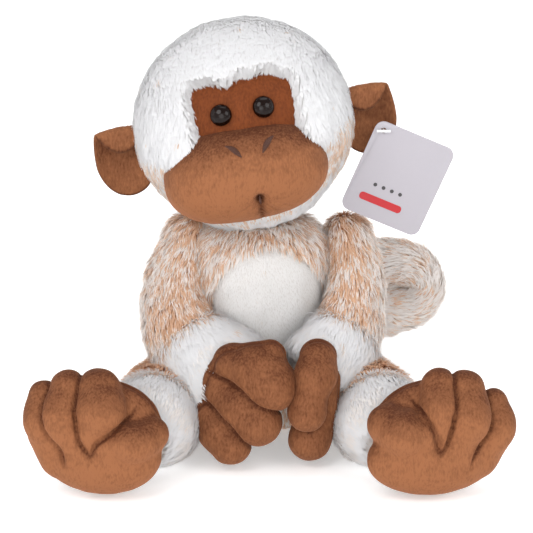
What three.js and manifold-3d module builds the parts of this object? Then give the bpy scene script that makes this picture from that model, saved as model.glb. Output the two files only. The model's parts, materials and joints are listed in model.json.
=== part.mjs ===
// A sitting plush monkey, in millimetres, +Z up, facing -Y, with its seat on Z = 0.
// Every cover is a fabric shell over its own stuffing. "left" and "right" are the toy's own
// sides, so the toy's left is at +X.
import * as THREE from "three";
import { RoundedBoxGeometry } from "three/addons/geometries/RoundedBoxGeometry.js";
import { mergeVertices } from "three/addons/utils/BufferGeometryUtils.js";
import Module from "manifold-3d";

const wasm = await Module();
wasm.setup();

// ---- Driving dimensions -------------------------------------------------------------------

const FABRIC = 2; // backing cloth with its pile pressed flat
const SLACK = 0.8; // room between a cover and its stuffing
const GAP = 0.4; // room between two pieces that touch
const MIDDLE = { x: 2.42, y: -32.34 }; // the middle of the box that the toy fills

const HEAD = { at: [-15.5, -10, 208], radii: [69, 62, 65], roll: -10.5, yaw: 4 };
const WINDOW = { halfWidth: 31, low: -14, high: 37, corner: 11, depth: 60, middle: -52 };
const FACE_RECESS = 3.4; // how far the face lies below the hood's surface
const MUZZLE = { at: [0, -44, -24], radii: [54, 38, 33] };
const MUZZLE_FILL_HOLE = { radius: 20, depth: 12 }; // at the back, where it was stuffed
const EYE = { side: 13.5, up: 19.2, radius: 7, skirt: 0.8, dome: 4.8, shank: 1.8, tail: 5 };
const WASHER = { radius: 6.5, slack: 2.2, thick: 1.4, room: 1 };
const NOSTRIL = { side: 11.5, up: -0.5, radius: 5, thread: 1.3, from: 15, step: 25, steps: 6 };
const MOUTH = { side: 1.2, top: -31, bottom: -44, thread: 1.1 };
const NECK = { at: [-12, -10, 146], ball: 17, band: 20, bandGap: 0.7, bandHeight: 10, socket: 22.5 };
const EAR = { at: [82, 8, -14], radii: [17, 5, 26], bowl: [10, 4, 18], room: 1.4 };
const TAG = { width: 56, height: 65, corner: 6, card: 1, hole: 1.9, turn: 23, at: [77.2, -13, 202.7] };
const FASTENER = { filament: 0.5, bar: 0.9, barLength: 9, back: 23.5, front: 2.4 };

const TORSO_LEVELS = [
  // height, half width, half depth, forward shift
  [0, 38, 40, 2],
  [9, 45, 48, 2],
  [24, 48, 52, 2],
  [48, 46, 53, 4],
  [72, 44, 52, 5],
  [96, 42, 49, 5],
  [116, 38, 42, 5],
  [130, 31, 33, 5],
  [138, 24, 25, 3],
];
const TORSO_CENTRE = [-4, 2];
const TORSO_CROWN = 3; // rise of the torso's closed top
const TUMMY = { at: [-2, -62, 84], radii: [36, 40, 46] };
const POUCH_TOP = 42;

const ARM_PATHS = {
  right: [[-57, -4, 122], [-62, -16, 104], [-62, -32, 87], [-54, -48, 73], [-44, -60, 64], [-34, -70, 57]],
  left: [[57, -4, 122], [60, -15, 104], [59, -31, 88], [53, -47, 75], [47, -60, 66], [40, -71, 60]],
};
const ARM_RADII = [15, 19.5, 22.5, 21.5, 19, 15.5];
const ELBOW_SHARE = 0.5;
const BEND_ROOM = 1.4; // room on each side of an elbow, or of the bend in the tail
const CUFF = { swell: 3.5, armShare: 0.18, legShare: 0.3, blunt: 0.25 };
const WRIST_ROOM = 20.5;

const LEG_PATHS = {
  right: [[-59, -35, 21], [-65, -56, 23], [-71, -78, 27], [-75, -98, 29]],
  left: [[59, -35, 21], [65, -56, 23], [71, -78, 27], [75, -98, 29]],
};
const LEG_RADII = [16, 20, 23.5, 24.5];
const ANKLE_ROOM = 29.5;

// Hands and feet are drawn about their own middle: x across, y away from the viewer, z up.
const HANDS = {
  right: {
    at: [-19, -97, 47],
    seam: -1,
    pads: [{ at: [-2, 5, 3], radii: [20, 12, 27] }],
    lobes: [
      { path: [[-2, 5, 24], [12, -1, 22], [23, -6, 17]], radii: [14, 17.5, 15] },
      { path: [[-9, 5, 5], [4, -3, -3], [14, -9, -10]], radii: [13, 15, 14] },
      { path: [[-17, 4, -13], [-11, -2, -22], [-4, -8, -29]], radii: [12, 14, 13] },
    ],
  },
  left: {
    at: [29, -99, 45],
    seam: 2,
    pads: [{ at: [4, 7, 5], radii: [10, 13, 25] }],
    lobes: [
      { path: [[4, 3, 29], [2, -6, 18], [-1, -9, 6], [-3, -9, -4]], radii: [12, 14, 11, 12] },
      { path: [[7, 7, 12], [4, 4, -8], [-1, 0, -26]], radii: [12, 13, 14.5] },
    ],
  },
};
const FEET = {
  right: {
    at: [-106, -139, 42],
    tilt: -8,
    yaw: -8,
    seam: 5,
    pads: [
      { at: [4, 1, -16], radii: [38, 17, 24.5] },
      { at: [1, 8, 2], radii: [39, 14, 29] },
    ],
    lobes: [
      { path: [[-34, 0, 20], [-34, -6, 5], [-20, -8, -10]], radii: [10, 12, 9] },
      { path: [[-18, -2, 26], [-20, -10, 9], [-10, -13, -8]], radii: [12, 14, 9] },
      { path: [[1, -2, 25], [4, -11, 13], [-2, -13, 0]], radii: [15, 16.5, 10] },
      { path: [[33, -1, -1], [26, -9, -5], [9, -12, -5]], radii: [13, 15, 10] },
      { path: [[-24, -2, -2], [14, -2, 6]], radii: [11, 11] },
    ],
  },
  left: {
    at: [107, -139, 42],
    tilt: -8,
    yaw: 8,
    seam: 5,
    pads: [
      { at: [-5, 1, -17.5], radii: [41, 17, 23.5] },
      { at: [-1, 8, 2], radii: [39, 14, 29] },
    ],
    lobes: [
      { path: [[36, 0, 16], [38, -6, 1], [26, -8, -14]], radii: [9, 11, 9] },
      { path: [[17, -2, 25], [17, -10, 8], [9, -13, -8]], radii: [13, 15, 9.5] },
      { path: [[1, -2, 28], [-1, -10, 14], [-3, -13, 1]], radii: [12, 13, 9] },
      { path: [[-30, -1, 5], [-22, -9, 1], [-9, -12, 0]], radii: [15, 17.5, 10.5] },
      { path: [[-14, -2, 6], [24, -2, -2]], radii: [11, 11] },
    ],
  },
};
const LOBE_FLATNESS = 0.85;
const FILL_HOLE = { shoulder: 6, wrist: 7, ankle: 9, tail: 6, length: 35 };

const TAIL_PATH = [[12, 66, 40], [38, 80, 42], [62, 86, 43], [85, 87, 44]];
const TAIL_RADII = [14, 16, 16.5, 16.5];
const TAIL_TIP_PATH = [[88, 87, 45], [106, 86, 49], [113, 86, 62], [104, 85, 76], [84, 84, 79], [58, 83, 79]];
const TAIL_TIP_RADII = [15, 14.5, 13.5, 14, 14.5, 13];
const FROM_PATH_START = 0.001; // a tube's share that gives it no rounded end before its path
const LABEL = { width: 22, height: 30, cloth: 0.8, turn: 27, at: [-27, 46.5, 20] };
const FAR = 200; // further than any piece reaches

// ---- Materials ----------------------------------------------------------------------------

const cloth = (color, roughness = 0.95) =>
  new THREE.MeshStandardMaterial({ color, roughness, metalness: 0 });
const WHITE_PLUSH = "#dedad6";
const FROSTED_PLUSH = "#d6b9a2";
const BROWN_VELBOA = "#8f5230";
const FACE_VELBOA = "#6f3617";
const STUFFING = "#f2f1ee";

// ---- Solids -------------------------------------------------------------------------------

const vec = (p) => new THREE.Vector3(...p);

// A closed geometry as a solid that can be cut and joined.
function solid(geometry) {
  const bare = geometry.index ? geometry.toNonIndexed() : geometry.clone();
  for (const name of Object.keys(bare.attributes)) if (name !== "position") bare.deleteAttribute(name);
  const merged = mergeVertices(bare, 1e-4);
  return new wasm.Manifold(
    new wasm.Mesh({
      numProp: 3,
      vertProperties: merged.attributes.position.array,
      triVerts: new Uint32Array(merged.index.array),
    }),
  );
}

function geometryOf(made) {
  const { vertProperties, triVerts } = made.getMesh();
  const geometry = new THREE.BufferGeometry();
  geometry.setAttribute("position", new THREE.BufferAttribute(vertProperties, 3));
  geometry.setIndex(new THREE.BufferAttribute(triVerts, 1));
  return geometry;
}

// An ellipsoid whose poles are on the Z axis.
function ellipsoid(at, radii, sides = 12, rings = 8, shrink = 0) {
  const [x, y, z] = radii.map((r) => r - shrink);
  const geometry = new THREE.SphereGeometry(1, sides, rings).rotateX(Math.PI / 2);
  return solid(geometry.scale(x, y, z).translate(...at));
}

// A ball used only to cut room for a turning joint.
const ballRoom = (at, radius) => ellipsoid(at, [radius, radius, radius], 14, 8);

// A sphere geometry re-laid ring by ring: place(share, angle, target) gives each point of the skin,
// with share 0 at the first end and 1 at the far end.
function skin(place, sides, rings) {
  const geometry = new THREE.SphereGeometry(1, sides, rings);
  const position = geometry.attributes.position;
  const point = new THREE.Vector3();
  for (let i = 0; i < position.count; i += 1) {
    const ring = Math.floor(i / (sides + 1));
    const angle = ((i % (sides + 1)) % sides) * ((2 * Math.PI) / sides);
    place(ring / rings, angle, point);
    position.setXYZ(i, point.x, point.y, point.z);
  }
  return solid(geometry);
}

// A stuffed tube along a path: its radius follows the list, and both ends are rounded.
// shrink takes the whole skin inwards, and from..to keeps only that share of the path's length.
function stuffedTube(path, radii, options = {}) {
  const { sides = 12, rings = 8, flat = 1, shrink = 0, from = 0, to = 1, blunt = 1 } = options;
  const across = vec(options.across ?? [1, 0, 0]);
  const curve = new THREE.CatmullRomCurve3(path.map(vec), false, "centripetal");
  const radiusAt = (share) => {
    const place = THREE.MathUtils.clamp(share, 0, 1) * (radii.length - 1);
    const step = Math.min(Math.floor(place), radii.length - 2);
    const between = THREE.MathUtils.smoothstep(place - step, 0, 1);
    return THREE.MathUtils.lerp(radii[step], radii[step + 1], between);
  };
  const length = curve.getLength();
  const start = from * length - (from === 0 ? radiusAt(0) : 0);
  const stop = to * length + (to === 1 ? radiusAt(1) * blunt : 0);
  const tangentAt = (share) => curve.getTangentAt(THREE.MathUtils.clamp(share, 0, 1));
  const up = new THREE.Vector3();
  return skin(
    (share, angle, target) => {
      const eased = (1 - Math.cos(share * Math.PI)) / 2;
      const along = start + shrink + eased * (stop - start - 2 * shrink);
      const t = along / length;
      const centre = curve.getPointAt(THREE.MathUtils.clamp(t, 0, 1));
      const tangent = tangentAt(t);
      if (t < 0) centre.addScaledVector(tangent, along);
      if (t > 1) centre.addScaledVector(tangent, along - length);
      const cap = (radiusAt(t) - shrink) * blunt;
      const rounding = (distance) =>
        distance >= cap ? 1 : Math.sqrt(Math.max(0, 1 - (1 - distance / cap) ** 2));
      const round = Math.min(rounding(along - start - shrink), rounding(stop - shrink - along));
      const radius = (radiusAt(t) - shrink) * round;
      const side = across.clone().addScaledVector(tangent, -tangent.dot(across)).normalize();
      up.crossVectors(side, tangent);
      target.copy(centre);
      target.addScaledVector(side, radius * Math.cos(angle));
      target.addScaledVector(up, radius * flat * Math.sin(angle));
    },
    sides,
    rings,
  );
}

// A cylinder from one point to another.
function rod(from, to, radius, sides = 10) {
  const start = vec(from);
  const span = vec(to).sub(start);
  const geometry = new THREE.CylinderGeometry(radius, radius, span.length(), sides);
  geometry.applyQuaternion(
    new THREE.Quaternion().setFromUnitVectors(new THREE.Vector3(0, 1, 0), span.clone().normalize()),
  );
  geometry.translate(...start.addScaledVector(span, 0.5).toArray());
  return solid(geometry);
}

function block(low, high) {
  const size = high.map((value, i) => value - low[i]);
  const middle = high.map((value, i) => (value + low[i]) / 2);
  return solid(new THREE.BoxGeometry(...size).translate(...middle));
}

const union = (solids) => solids.reduce((whole, next) => whole.add(next));
const less = (whole, cutters) => cutters.reduce((rest, cutter) => rest.subtract(cutter), whole);

// ---- Assembly helpers ---------------------------------------------------------------------

const toy = new THREE.Group();
const frame = new THREE.Group();
frame.position.set(-MIDDLE.x, -MIDDLE.y, 0);
toy.add(frame);

function add(name, made, material, parent = frame) {
  const mesh = new THREE.Mesh(geometryOf(made), material);
  mesh.name = name;
  parent.add(mesh);
  return mesh;
}

// ---- Torso --------------------------------------------------------------------------------

function torsoSkin(shrink) {
  const last = TORSO_LEVELS.length - 1;
  const levels = TORSO_LEVELS.map(([z, wide, deep, forward], i) => {
    const inwards = i === 0 ? shrink : i === last ? -shrink : 0;
    return [z + inwards, wide - shrink, deep - shrink, forward];
  });
  const rings = levels.length + 1;
  return skin(
    (share, angle, target) => {
      const ring = rings - Math.round(share * rings);
      const atEnd = ring === 0 || ring === rings;
      const [z, wide, deep, forward] = levels[THREE.MathUtils.clamp(ring - 1, 0, last)];
      const top = ring === rings ? TORSO_CROWN : 0;
      const reach = atEnd ? 0 : 1;
      target.set(
        TORSO_CENTRE[0] + reach * wide * Math.cos(angle),
        TORSO_CENTRE[1] - forward + reach * deep * Math.sin(angle),
        z + top,
      );
    },
    14,
    rings,
  );
}

function makeTorso() {
  const neckRoom = ballRoom(NECK.at, NECK.socket);
  const front = ellipsoid(TUMMY.at, TUMMY.radii, 14, 8);
  const frontRoom = ellipsoid(TUMMY.at, TUMMY.radii.map((r) => r + GAP), 14, 8);
  const cover = less(torsoSkin(0), [torsoSkin(FABRIC), neckRoom]);
  const filling = torsoSkin(FABRIC + SLACK);
  const [lowest, highest] = [0, 1].map((end) => POUCH_TOP + (end - 0.5) * GAP);
  const below = block([-FAR, -FAR, -FAR], [FAR, FAR, lowest]);
  const above = block([-FAR, -FAR, highest], [FAR, FAR, FAR]);
  add("torso_cover", cover.subtract(frontRoom), cloth(FROSTED_PLUSH));
  add("tummy_panel", cover.intersect(front), cloth(WHITE_PLUSH));
  add("torso_stuffing", filling.intersect(above).subtract(neckRoom), cloth(STUFFING));
  add("seat_pellet_pouch", filling.intersect(below), cloth("#cfc8bd"));
  const label = new THREE.BoxGeometry(LABEL.width, LABEL.cloth, LABEL.height);
  label.rotateZ(THREE.MathUtils.degToRad(LABEL.turn)).translate(...LABEL.at);
  add("sewn_label", solid(label), cloth("#f4f2ee", 0.6));
}

function makeNeck() {
  const [x, y, z] = NECK.at;
  const half = NECK.bandHeight / 2;
  const ball = ellipsoid(NECK.at, [NECK.ball, NECK.ball, NECK.ball]);
  const outside = rod([x, y, z - half], [x, y, z + half], NECK.band, 14);
  const inside = rod([x, y, z - half - 1], [x, y, z + half + 1], NECK.ball + NECK.bandGap, 14);
  add("neck_stuffing", ball, cloth(STUFFING));
  add("neck_band", outside.subtract(inside), cloth(FROSTED_PLUSH));
}

// ---- Head ---------------------------------------------------------------------------------

const head = new THREE.Group();
head.position.set(...HEAD.at);
head.rotation.set(0, THREE.MathUtils.degToRad(HEAD.roll), THREE.MathUtils.degToRad(HEAD.yaw), "YZX");
frame.add(head);
head.updateMatrix();
const intoHead = (point) => vec(point).applyMatrix4(head.matrix.clone().invert()).toArray();

const headSkin = (shrink) => ellipsoid([0, 0, 0], HEAD.radii, 16, 9, shrink);
const muzzleSkin = (shrink) => ellipsoid(MUZZLE.at, MUZZLE.radii, 16, 9, shrink);

// The opening in the hood, a rounded panel shape carried straight through the front of the head.
function windowBlock(grow) {
  const wide = 2 * (WINDOW.halfWidth + grow);
  const high = WINDOW.high - WINDOW.low + 2 * grow;
  const geometry = new RoundedBoxGeometry(wide, WINDOW.depth, high, 2, WINDOW.corner + grow);
  return solid(geometry.translate(0, WINDOW.middle, (WINDOW.high + WINDOW.low) / 2));
}

// The depth of an ellipsoid's front at a given place, and its outward direction there.
function frontOf(at, radii, x, z) {
  const y = at[1] - radii[1] * Math.sqrt(1 - ((x - at[0]) / radii[0]) ** 2 - ((z - at[2]) / radii[2]) ** 2);
  const outward = new THREE.Vector3(
    (x - at[0]) / radii[0] ** 2,
    (y - at[1]) / radii[1] ** 2,
    (z - at[2]) / radii[2] ** 2,
  ).normalize();
  return { point: new THREE.Vector3(x, y, z), outward };
}

// A turned part, drawn with its axis on Z, moved so that Z points along outward.
function turnedPart(profile, place, sides) {
  const points = profile.map(([r, z]) => new THREE.Vector2(r, z));
  const geometry = new THREE.LatheGeometry(points, sides).rotateX(Math.PI / 2);
  const turn = new THREE.Quaternion().setFromUnitVectors(new THREE.Vector3(0, 0, 1), place.outward);
  return solid(geometry.applyQuaternion(turn).translate(...place.point.toArray()));
}

function makeEyes(panelRadii) {
  const rooms = [];
  for (const [side, x] of [["right", -EYE.side], ["left", EYE.side]]) {
    const place = frontOf([0, 0, 0], panelRadii, x, EYE.up);
    const dome = [];
    for (let i = 0; i <= 4; i += 1) {
      const angle = (i / 4) * (Math.PI / 2);
      const out = i === 4 ? 0 : EYE.radius * Math.cos(angle);
      dome.push([out, 2 * EYE.skirt + EYE.dome * Math.sin(angle)]);
    }
    const deep = -FABRIC - EYE.tail;
    const shank = [[0, deep], [EYE.shank, deep], [EYE.shank, EYE.skirt], [EYE.radius - EYE.skirt, EYE.skirt]];
    add(`eye_${side}`, turnedPart([...shank, ...dome], place, 12), cloth("#170c09", 0.08), head);
    const near = -FABRIC - WASHER.slack;
    const far = near - WASHER.thick;
    const hole = EYE.shank + GAP;
    const ring = [[hole, far], [WASHER.radius, far], [WASHER.radius, near], [hole, near], [hole, far]];
    add(`eye_washer_${side}`, turnedPart(ring, place, 10), cloth("#e9e9e4", 0.5), head);
    const plug = (radius, top) => [[0, deep - 1], [radius, deep - 1], [radius, top], [0, top]];
    rooms.push({
      washer: turnedPart(plug(WASHER.radius + WASHER.room, -FABRIC), place, 8),
      shank: turnedPart(plug(hole, FABRIC + 1), place, 8),
    });
  }
  return rooms;
}

// A raised arc of satin stitch on the muzzle, following its surface.
function nostril(sign) {
  const points = [];
  for (let i = 0; i <= NOSTRIL.steps; i += 1) {
    const angle = THREE.MathUtils.degToRad(NOSTRIL.from + NOSTRIL.step * i);
    const x = sign * (NOSTRIL.side - NOSTRIL.radius * Math.cos(angle) * 1.1);
    const z = NOSTRIL.up + NOSTRIL.radius * 0.8 * Math.sin(angle);
    const { point, outward } = frontOf(MUZZLE.at, MUZZLE.radii, x, z);
    points.push(point.addScaledVector(outward, NOSTRIL.thread + GAP).toArray());
  }
  return stuffedTube(points, [NOSTRIL.thread, NOSTRIL.thread], { sides: 6, rings: 7 });
}

function mouth() {
  const points = [0, 0.5, 1].map((share) => {
    const z = THREE.MathUtils.lerp(MOUTH.top, MOUTH.bottom, share);
    const { point, outward } = frontOf(MUZZLE.at, MUZZLE.radii, MOUTH.side, z);
    return point.addScaledVector(outward, MOUTH.thread + GAP).toArray();
  });
  return stuffedTube(points, [MOUTH.thread, MOUTH.thread], { sides: 6, rings: 4 });
}

function makeHead() {
  const neck = intoHead(NECK.at);
  const neckRoom = ballRoom(neck, NECK.socket);
  const muzzleRoom = muzzleSkin(-GAP);
  const panelRadii = HEAD.radii.map((r) => r - FACE_RECESS);
  const rooms = makeEyes(panelRadii);
  const hood = less(headSkin(0), [headSkin(FABRIC), windowBlock(0), muzzleRoom, neckRoom]);
  const panel = less(headSkin(FACE_RECESS).intersect(windowBlock(4)), [
    headSkin(FACE_RECESS + FABRIC),
    muzzleRoom,
    ...rooms.map((room) => room.shank),
  ]);
  const filling = less(headSkin(FACE_RECESS + FABRIC + SLACK), [
    muzzleRoom,
    neckRoom,
    ...rooms.map((room) => room.washer),
  ]);
  const shell = muzzleSkin(0).subtract(muzzleSkin(FABRIC));
  const [x, , z] = MUZZLE.at;
  const behind = rod([x, 0, z], [x, -MUZZLE_FILL_HOLE.depth, z], MUZZLE_FILL_HOLE.radius, 16);
  add("head_hood", hood, cloth(WHITE_PLUSH), head);
  add("face_panel", panel, cloth(FACE_VELBOA), head);
  add("head_stuffing", filling, cloth(STUFFING), head);
  add("muzzle_cover", shell.subtract(behind), cloth(BROWN_VELBOA), head);
  add("muzzle_stuffing", muzzleSkin(FABRIC + SLACK), cloth(STUFFING), head);
  add("nostril_stitch_right", nostril(-1), cloth("#5b2a12"), head);
  add("nostril_stitch_left", nostril(1), cloth("#5b2a12"), head);
  add("mouth_stitch", mouth(), cloth("#4a2210"), head);
}

// ---- Ears and hang tag --------------------------------------------------------------------

function makeEars() {
  const headRoom = headSkin(-EAR.room);
  const [x, y, z] = TAG.at;
  const pinRoom = rod(intoHead([x, y - 10, z]), intoHead([x, y + 40, z]), FASTENER.filament + GAP, 6);
  for (const [side, sign] of [["right", -1], ["left", 1]]) {
    const at = [sign * EAR.at[0], EAR.at[1], EAR.at[2]];
    const bowl = ellipsoid([at[0], at[1] - EAR.radii[1], at[2]], EAR.bowl, 10, 6);
    const whole = less(ellipsoid(at, EAR.radii, 14, 8), side === "left" ? [headRoom, pinRoom] : [headRoom]);
    const seam = at[1];
    const frontHalf = block([-FAR, -FAR, -FAR], [FAR, seam - GAP / 2, FAR]);
    const backHalf = block([-FAR, seam + GAP / 2, -FAR], [FAR, FAR, FAR]);
    add(`ear_lining_${side}`, whole.intersect(frontHalf).subtract(bowl), cloth(FACE_VELBOA), head);
    add(`ear_back_${side}`, whole.intersect(backHalf), cloth(BROWN_VELBOA), head);
  }
}

function makeTag() {
  const { width, height, corner, hole, card } = TAG;
  const shape = new THREE.Shape();
  const left = -corner;
  const right = width - corner;
  const top = corner;
  const bottom = corner - height;
  shape.moveTo(left + corner, bottom);
  shape.lineTo(right - corner, bottom);
  shape.absarc(right - corner, bottom + corner, corner, -Math.PI / 2, 0);
  shape.lineTo(right, top - corner);
  shape.absarc(right - corner, top - corner, corner, 0, Math.PI / 2);
  shape.lineTo(left + corner, top);
  shape.absarc(left + corner, top - corner, corner, Math.PI / 2, Math.PI);
  shape.lineTo(left, bottom + corner);
  shape.absarc(left + corner, bottom + corner, corner, Math.PI, 1.5 * Math.PI);
  shape.holes.push(new THREE.Path().absarc(0, 0, hole, 0, 2 * Math.PI, true));
  const geometry = new THREE.ExtrudeGeometry(shape, { depth: card, bevelEnabled: false, curveSegments: 3 });
  geometry.translate(0, 0, -card / 2).rotateX(Math.PI / 2);
  geometry.rotateY(THREE.MathUtils.degToRad(TAG.turn)).translate(...TAG.at);
  add("hang_tag", solid(geometry), cloth("#cbc8cf", 0.5));
  const [x, y, z] = TAG.at;
  const bar = (depth) => rod([x - FASTENER.barLength / 2, depth, z], [x + FASTENER.barLength / 2, depth, z],
    FASTENER.bar, 8);
  const filament = rod([x, y - FASTENER.front, z], [x, y + FASTENER.back, z], FASTENER.filament, 8);
  const whole = union([filament, bar(y - FASTENER.front), bar(y + FASTENER.back)]);
  add("tag_fastener", whole, cloth("#f3f3f3", 0.3));
}

// ---- Limbs --------------------------------------------------------------------------------

const curveOf = (path) => new THREE.CatmullRomCurve3(path.map(vec), false, "centripetal");

// A sleeve over its stuffing, with a small hole where it was turned and filled.
function stuffedSleeve(names, path, radii, options, hole) {
  const [coverName, fillingName] = names;
  const inner = stuffedTube(path, radii, { ...options, shrink: FABRIC });
  const filling = stuffedTube(path, radii, { ...options, shrink: FABRIC + SLACK });
  add(coverName, less(stuffedTube(path, radii, options), [inner, hole]), cloth(FROSTED_PLUSH));
  add(fillingName, filling, cloth(STUFFING));
}

// The hole in a sleeve's end: a short passage along the path, out of its first or far end.
function endHole(path, end, radius) {
  const curve = curveOf(path);
  const point = curve.getPointAt(end);
  const outwards = curve.getTangentAt(end).multiplyScalar((2 * end - 1) * FILL_HOLE.length);
  return rod(point.toArray(), point.clone().add(outwards).toArray(), radius, 8);
}

// A ring of fluffier plush around the far end of a sleeve.
function cuffRing(path, radii, share, sleeve) {
  const options = { sides: 10, rings: 5, from: 1 - share, blunt: CUFF.blunt };
  const outside = stuffedTube(path, radii.map((r) => r + CUFF.swell), options);
  const inside = stuffedTube(path, radii.map((r) => r + 2 * GAP), sleeve);
  return outside.subtract(inside);
}

// A hand or a foot: pads and fingers or toes sewn from a front and a back panel around a filling.
function stuffedPaw(names, shape, room, parent) {
  const pads = (shrink) => shape.pads.map((pad) => ellipsoid(pad.at, pad.radii, 12, 6, shrink));
  const lobes = shape.lobes.map(({ path, radii }) =>
    stuffedTube(path, radii, { sides: 8, rings: 6, flat: LOBE_FLATNESS }));
  const whole = union([...pads(0), ...lobes]).subtract(room);
  const hollow = whole.subtract(union(pads(FABRIC)));
  const [front, back, filling] = names;
  const frontHalf = block([-FAR, -FAR, -FAR], [FAR, shape.seam - GAP / 2, FAR]);
  const backHalf = block([-FAR, shape.seam + GAP / 2, -FAR], [FAR, FAR, FAR]);
  add(front, hollow.intersect(frontHalf), cloth(BROWN_VELBOA), parent);
  add(back, hollow.intersect(backHalf), cloth(BROWN_VELBOA), parent);
  add(filling, union(pads(FABRIC + SLACK)).subtract(room), cloth(STUFFING), parent);
}

function placedGroup({ at, tilt = 0, yaw = 0 }) {
  const group = new THREE.Group();
  group.position.set(...at);
  group.rotation.set(THREE.MathUtils.degToRad(tilt), 0, THREE.MathUtils.degToRad(yaw), "ZXY");
  group.updateMatrix();
  frame.add(group);
  return group;
}

// The room that a ball joint needs, in the frame of the group that it is cut from.
const roomIn = (group, centre, radius) =>
  ballRoom(vec(centre).applyMatrix4(group.matrix.clone().invert()).toArray(), radius);

function makeArm(side) {
  const path = ARM_PATHS[side];
  const room = BEND_ROOM / curveOf(path).getLength();
  const common = { sides: 10, rings: 7 };
  stuffedSleeve([`upper_sleeve_${side}`, `upper_arm_stuffing_${side}`], path, ARM_RADII,
    { ...common, to: ELBOW_SHARE - room }, endHole(path, 0, FILL_HOLE.shoulder));
  const lower = { ...common, from: ELBOW_SHARE + room };
  stuffedSleeve([`forearm_sleeve_${side}`, `forearm_stuffing_${side}`], path, ARM_RADII, lower,
    endHole(path, 1, FILL_HOLE.wrist));
  add(`wrist_cuff_${side}`, cuffRing(path, ARM_RADII, CUFF.armShare, lower), cloth(WHITE_PLUSH));
  const hand = placedGroup(HANDS[side]);
  stuffedPaw([`hand_back_${side}`, `hand_palm_${side}`, `hand_stuffing_${side}`], HANDS[side],
    roomIn(hand, path[path.length - 1], WRIST_ROOM), hand);
}

function makeLeg(side) {
  const path = LEG_PATHS[side];
  const whole = { sides: 10, rings: 7 };
  stuffedSleeve([`leg_sleeve_${side}`, `leg_stuffing_${side}`], path, LEG_RADII, whole,
    endHole(path, 1, FILL_HOLE.ankle));
  add(`ankle_cuff_${side}`, cuffRing(path, LEG_RADII, CUFF.legShare, whole), cloth(WHITE_PLUSH));
  const foot = placedGroup(FEET[side]);
  stuffedPaw([`foot_sole_${side}`, `foot_upper_${side}`, `foot_stuffing_${side}`], FEET[side],
    roomIn(foot, path[path.length - 1], ANKLE_ROOM), foot);
}

function makeTail() {
  const common = { sides: 8, rings: 6, across: [0, 1, 0] };
  const room = BEND_ROOM / curveOf(TAIL_PATH).getLength();
  stuffedSleeve(["tail_cover", "tail_stuffing"], TAIL_PATH, TAIL_RADII, { ...common, to: 1 - room },
    endHole(TAIL_PATH, 0, FILL_HOLE.tail));
  stuffedSleeve(["tail_tip_cover", "tail_tip_stuffing"], TAIL_TIP_PATH, TAIL_TIP_RADII,
    { ...common, rings: 11, from: FROM_PATH_START }, endHole(TAIL_TIP_PATH, 1, FILL_HOLE.tail));
}

makeTorso();
makeNeck();
makeHead();
makeEars();
makeTag();
for (const side of ["right", "left"]) {
  makeArm(side);
  makeLeg(side);
}
makeTail();

export default toy;
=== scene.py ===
import json
import logging
import math
from dataclasses import dataclass
from enum import Enum

import bmesh
import bpy
import numpy as np
from mathutils import Matrix, Vector, noise
from mathutils.kdtree import KDTree


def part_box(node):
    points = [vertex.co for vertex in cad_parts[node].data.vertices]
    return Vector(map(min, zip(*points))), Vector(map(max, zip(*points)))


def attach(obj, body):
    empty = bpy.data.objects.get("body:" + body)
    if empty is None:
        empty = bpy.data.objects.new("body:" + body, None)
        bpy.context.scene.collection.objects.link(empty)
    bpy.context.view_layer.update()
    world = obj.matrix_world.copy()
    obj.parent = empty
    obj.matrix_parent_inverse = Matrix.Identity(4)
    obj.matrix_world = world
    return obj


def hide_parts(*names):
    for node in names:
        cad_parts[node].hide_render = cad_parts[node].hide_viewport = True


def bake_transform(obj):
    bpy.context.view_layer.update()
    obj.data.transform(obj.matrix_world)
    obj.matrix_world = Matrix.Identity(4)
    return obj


# The looks of a sitting plush monkey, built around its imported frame. Lengths are named in
# millimetres and turned to metres when a mesh is made. "left" and "right" are the toy's own
# sides, so its left is at +X, and the face looks along -Y.
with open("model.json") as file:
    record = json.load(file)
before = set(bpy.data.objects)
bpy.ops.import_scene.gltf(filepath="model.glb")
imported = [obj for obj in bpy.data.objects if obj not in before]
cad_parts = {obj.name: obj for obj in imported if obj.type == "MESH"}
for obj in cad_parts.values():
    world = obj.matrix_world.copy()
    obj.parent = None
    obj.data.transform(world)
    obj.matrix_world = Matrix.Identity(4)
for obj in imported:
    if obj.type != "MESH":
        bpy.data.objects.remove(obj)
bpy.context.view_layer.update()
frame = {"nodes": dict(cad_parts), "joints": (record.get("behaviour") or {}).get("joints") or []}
MM = 0.001
LOG = logging.getLogger("plush")

Point = tuple[float, float, float]
Array = np.ndarray
Object = bpy.types.Object
Socket = bpy.types.NodeSocket


class Side(Enum):
    """One of the toy's own sides, with the sign of its X."""

    RIGHT = -1
    LEFT = 1

    @property
    def word(self) -> str:
        """The side's name as the frame's nodes and bodies spell it."""
        return self.name.lower()


# ---- Frame places ---------------------------------------------------------------------------

JOINTS = {joint["name"]: joint for joint in frame["joints"]}
EAR_HINGE = (68, 8, -14)
HEAD_RADII = np.array([69.0, 62.0, 65.0])
PILE_DEPTH = 2.0  # from the frame's covers in to the backing cloth that the pile grows from


def pivot(joint: str) -> Array:
    """A joint's place at rest, in millimetres."""
    return np.array(JOINTS[joint]["pos_m"], float) / MM


def head_matrix() -> Matrix:
    """A matrix from head to frame millimetres, found from where the two ears hinge."""
    right, left = pivot("ear_fold_right"), pivot("ear_fold_left")
    across = (left - right) / np.linalg.norm(left - right)
    up = np.array(JOINTS["ear_fold_right"]["axis"], float)
    up /= np.linalg.norm(up)
    back = np.cross(up, across)
    origin = (left + right) / 2 - EAR_HINGE[1] * back - EAR_HINGE[2] * up
    return Matrix([[across[i], back[i], up[i], origin[i]] for i in range(3)] + [[0, 0, 0, 1]])


# ---- Nodes and materials --------------------------------------------------------------------


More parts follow.
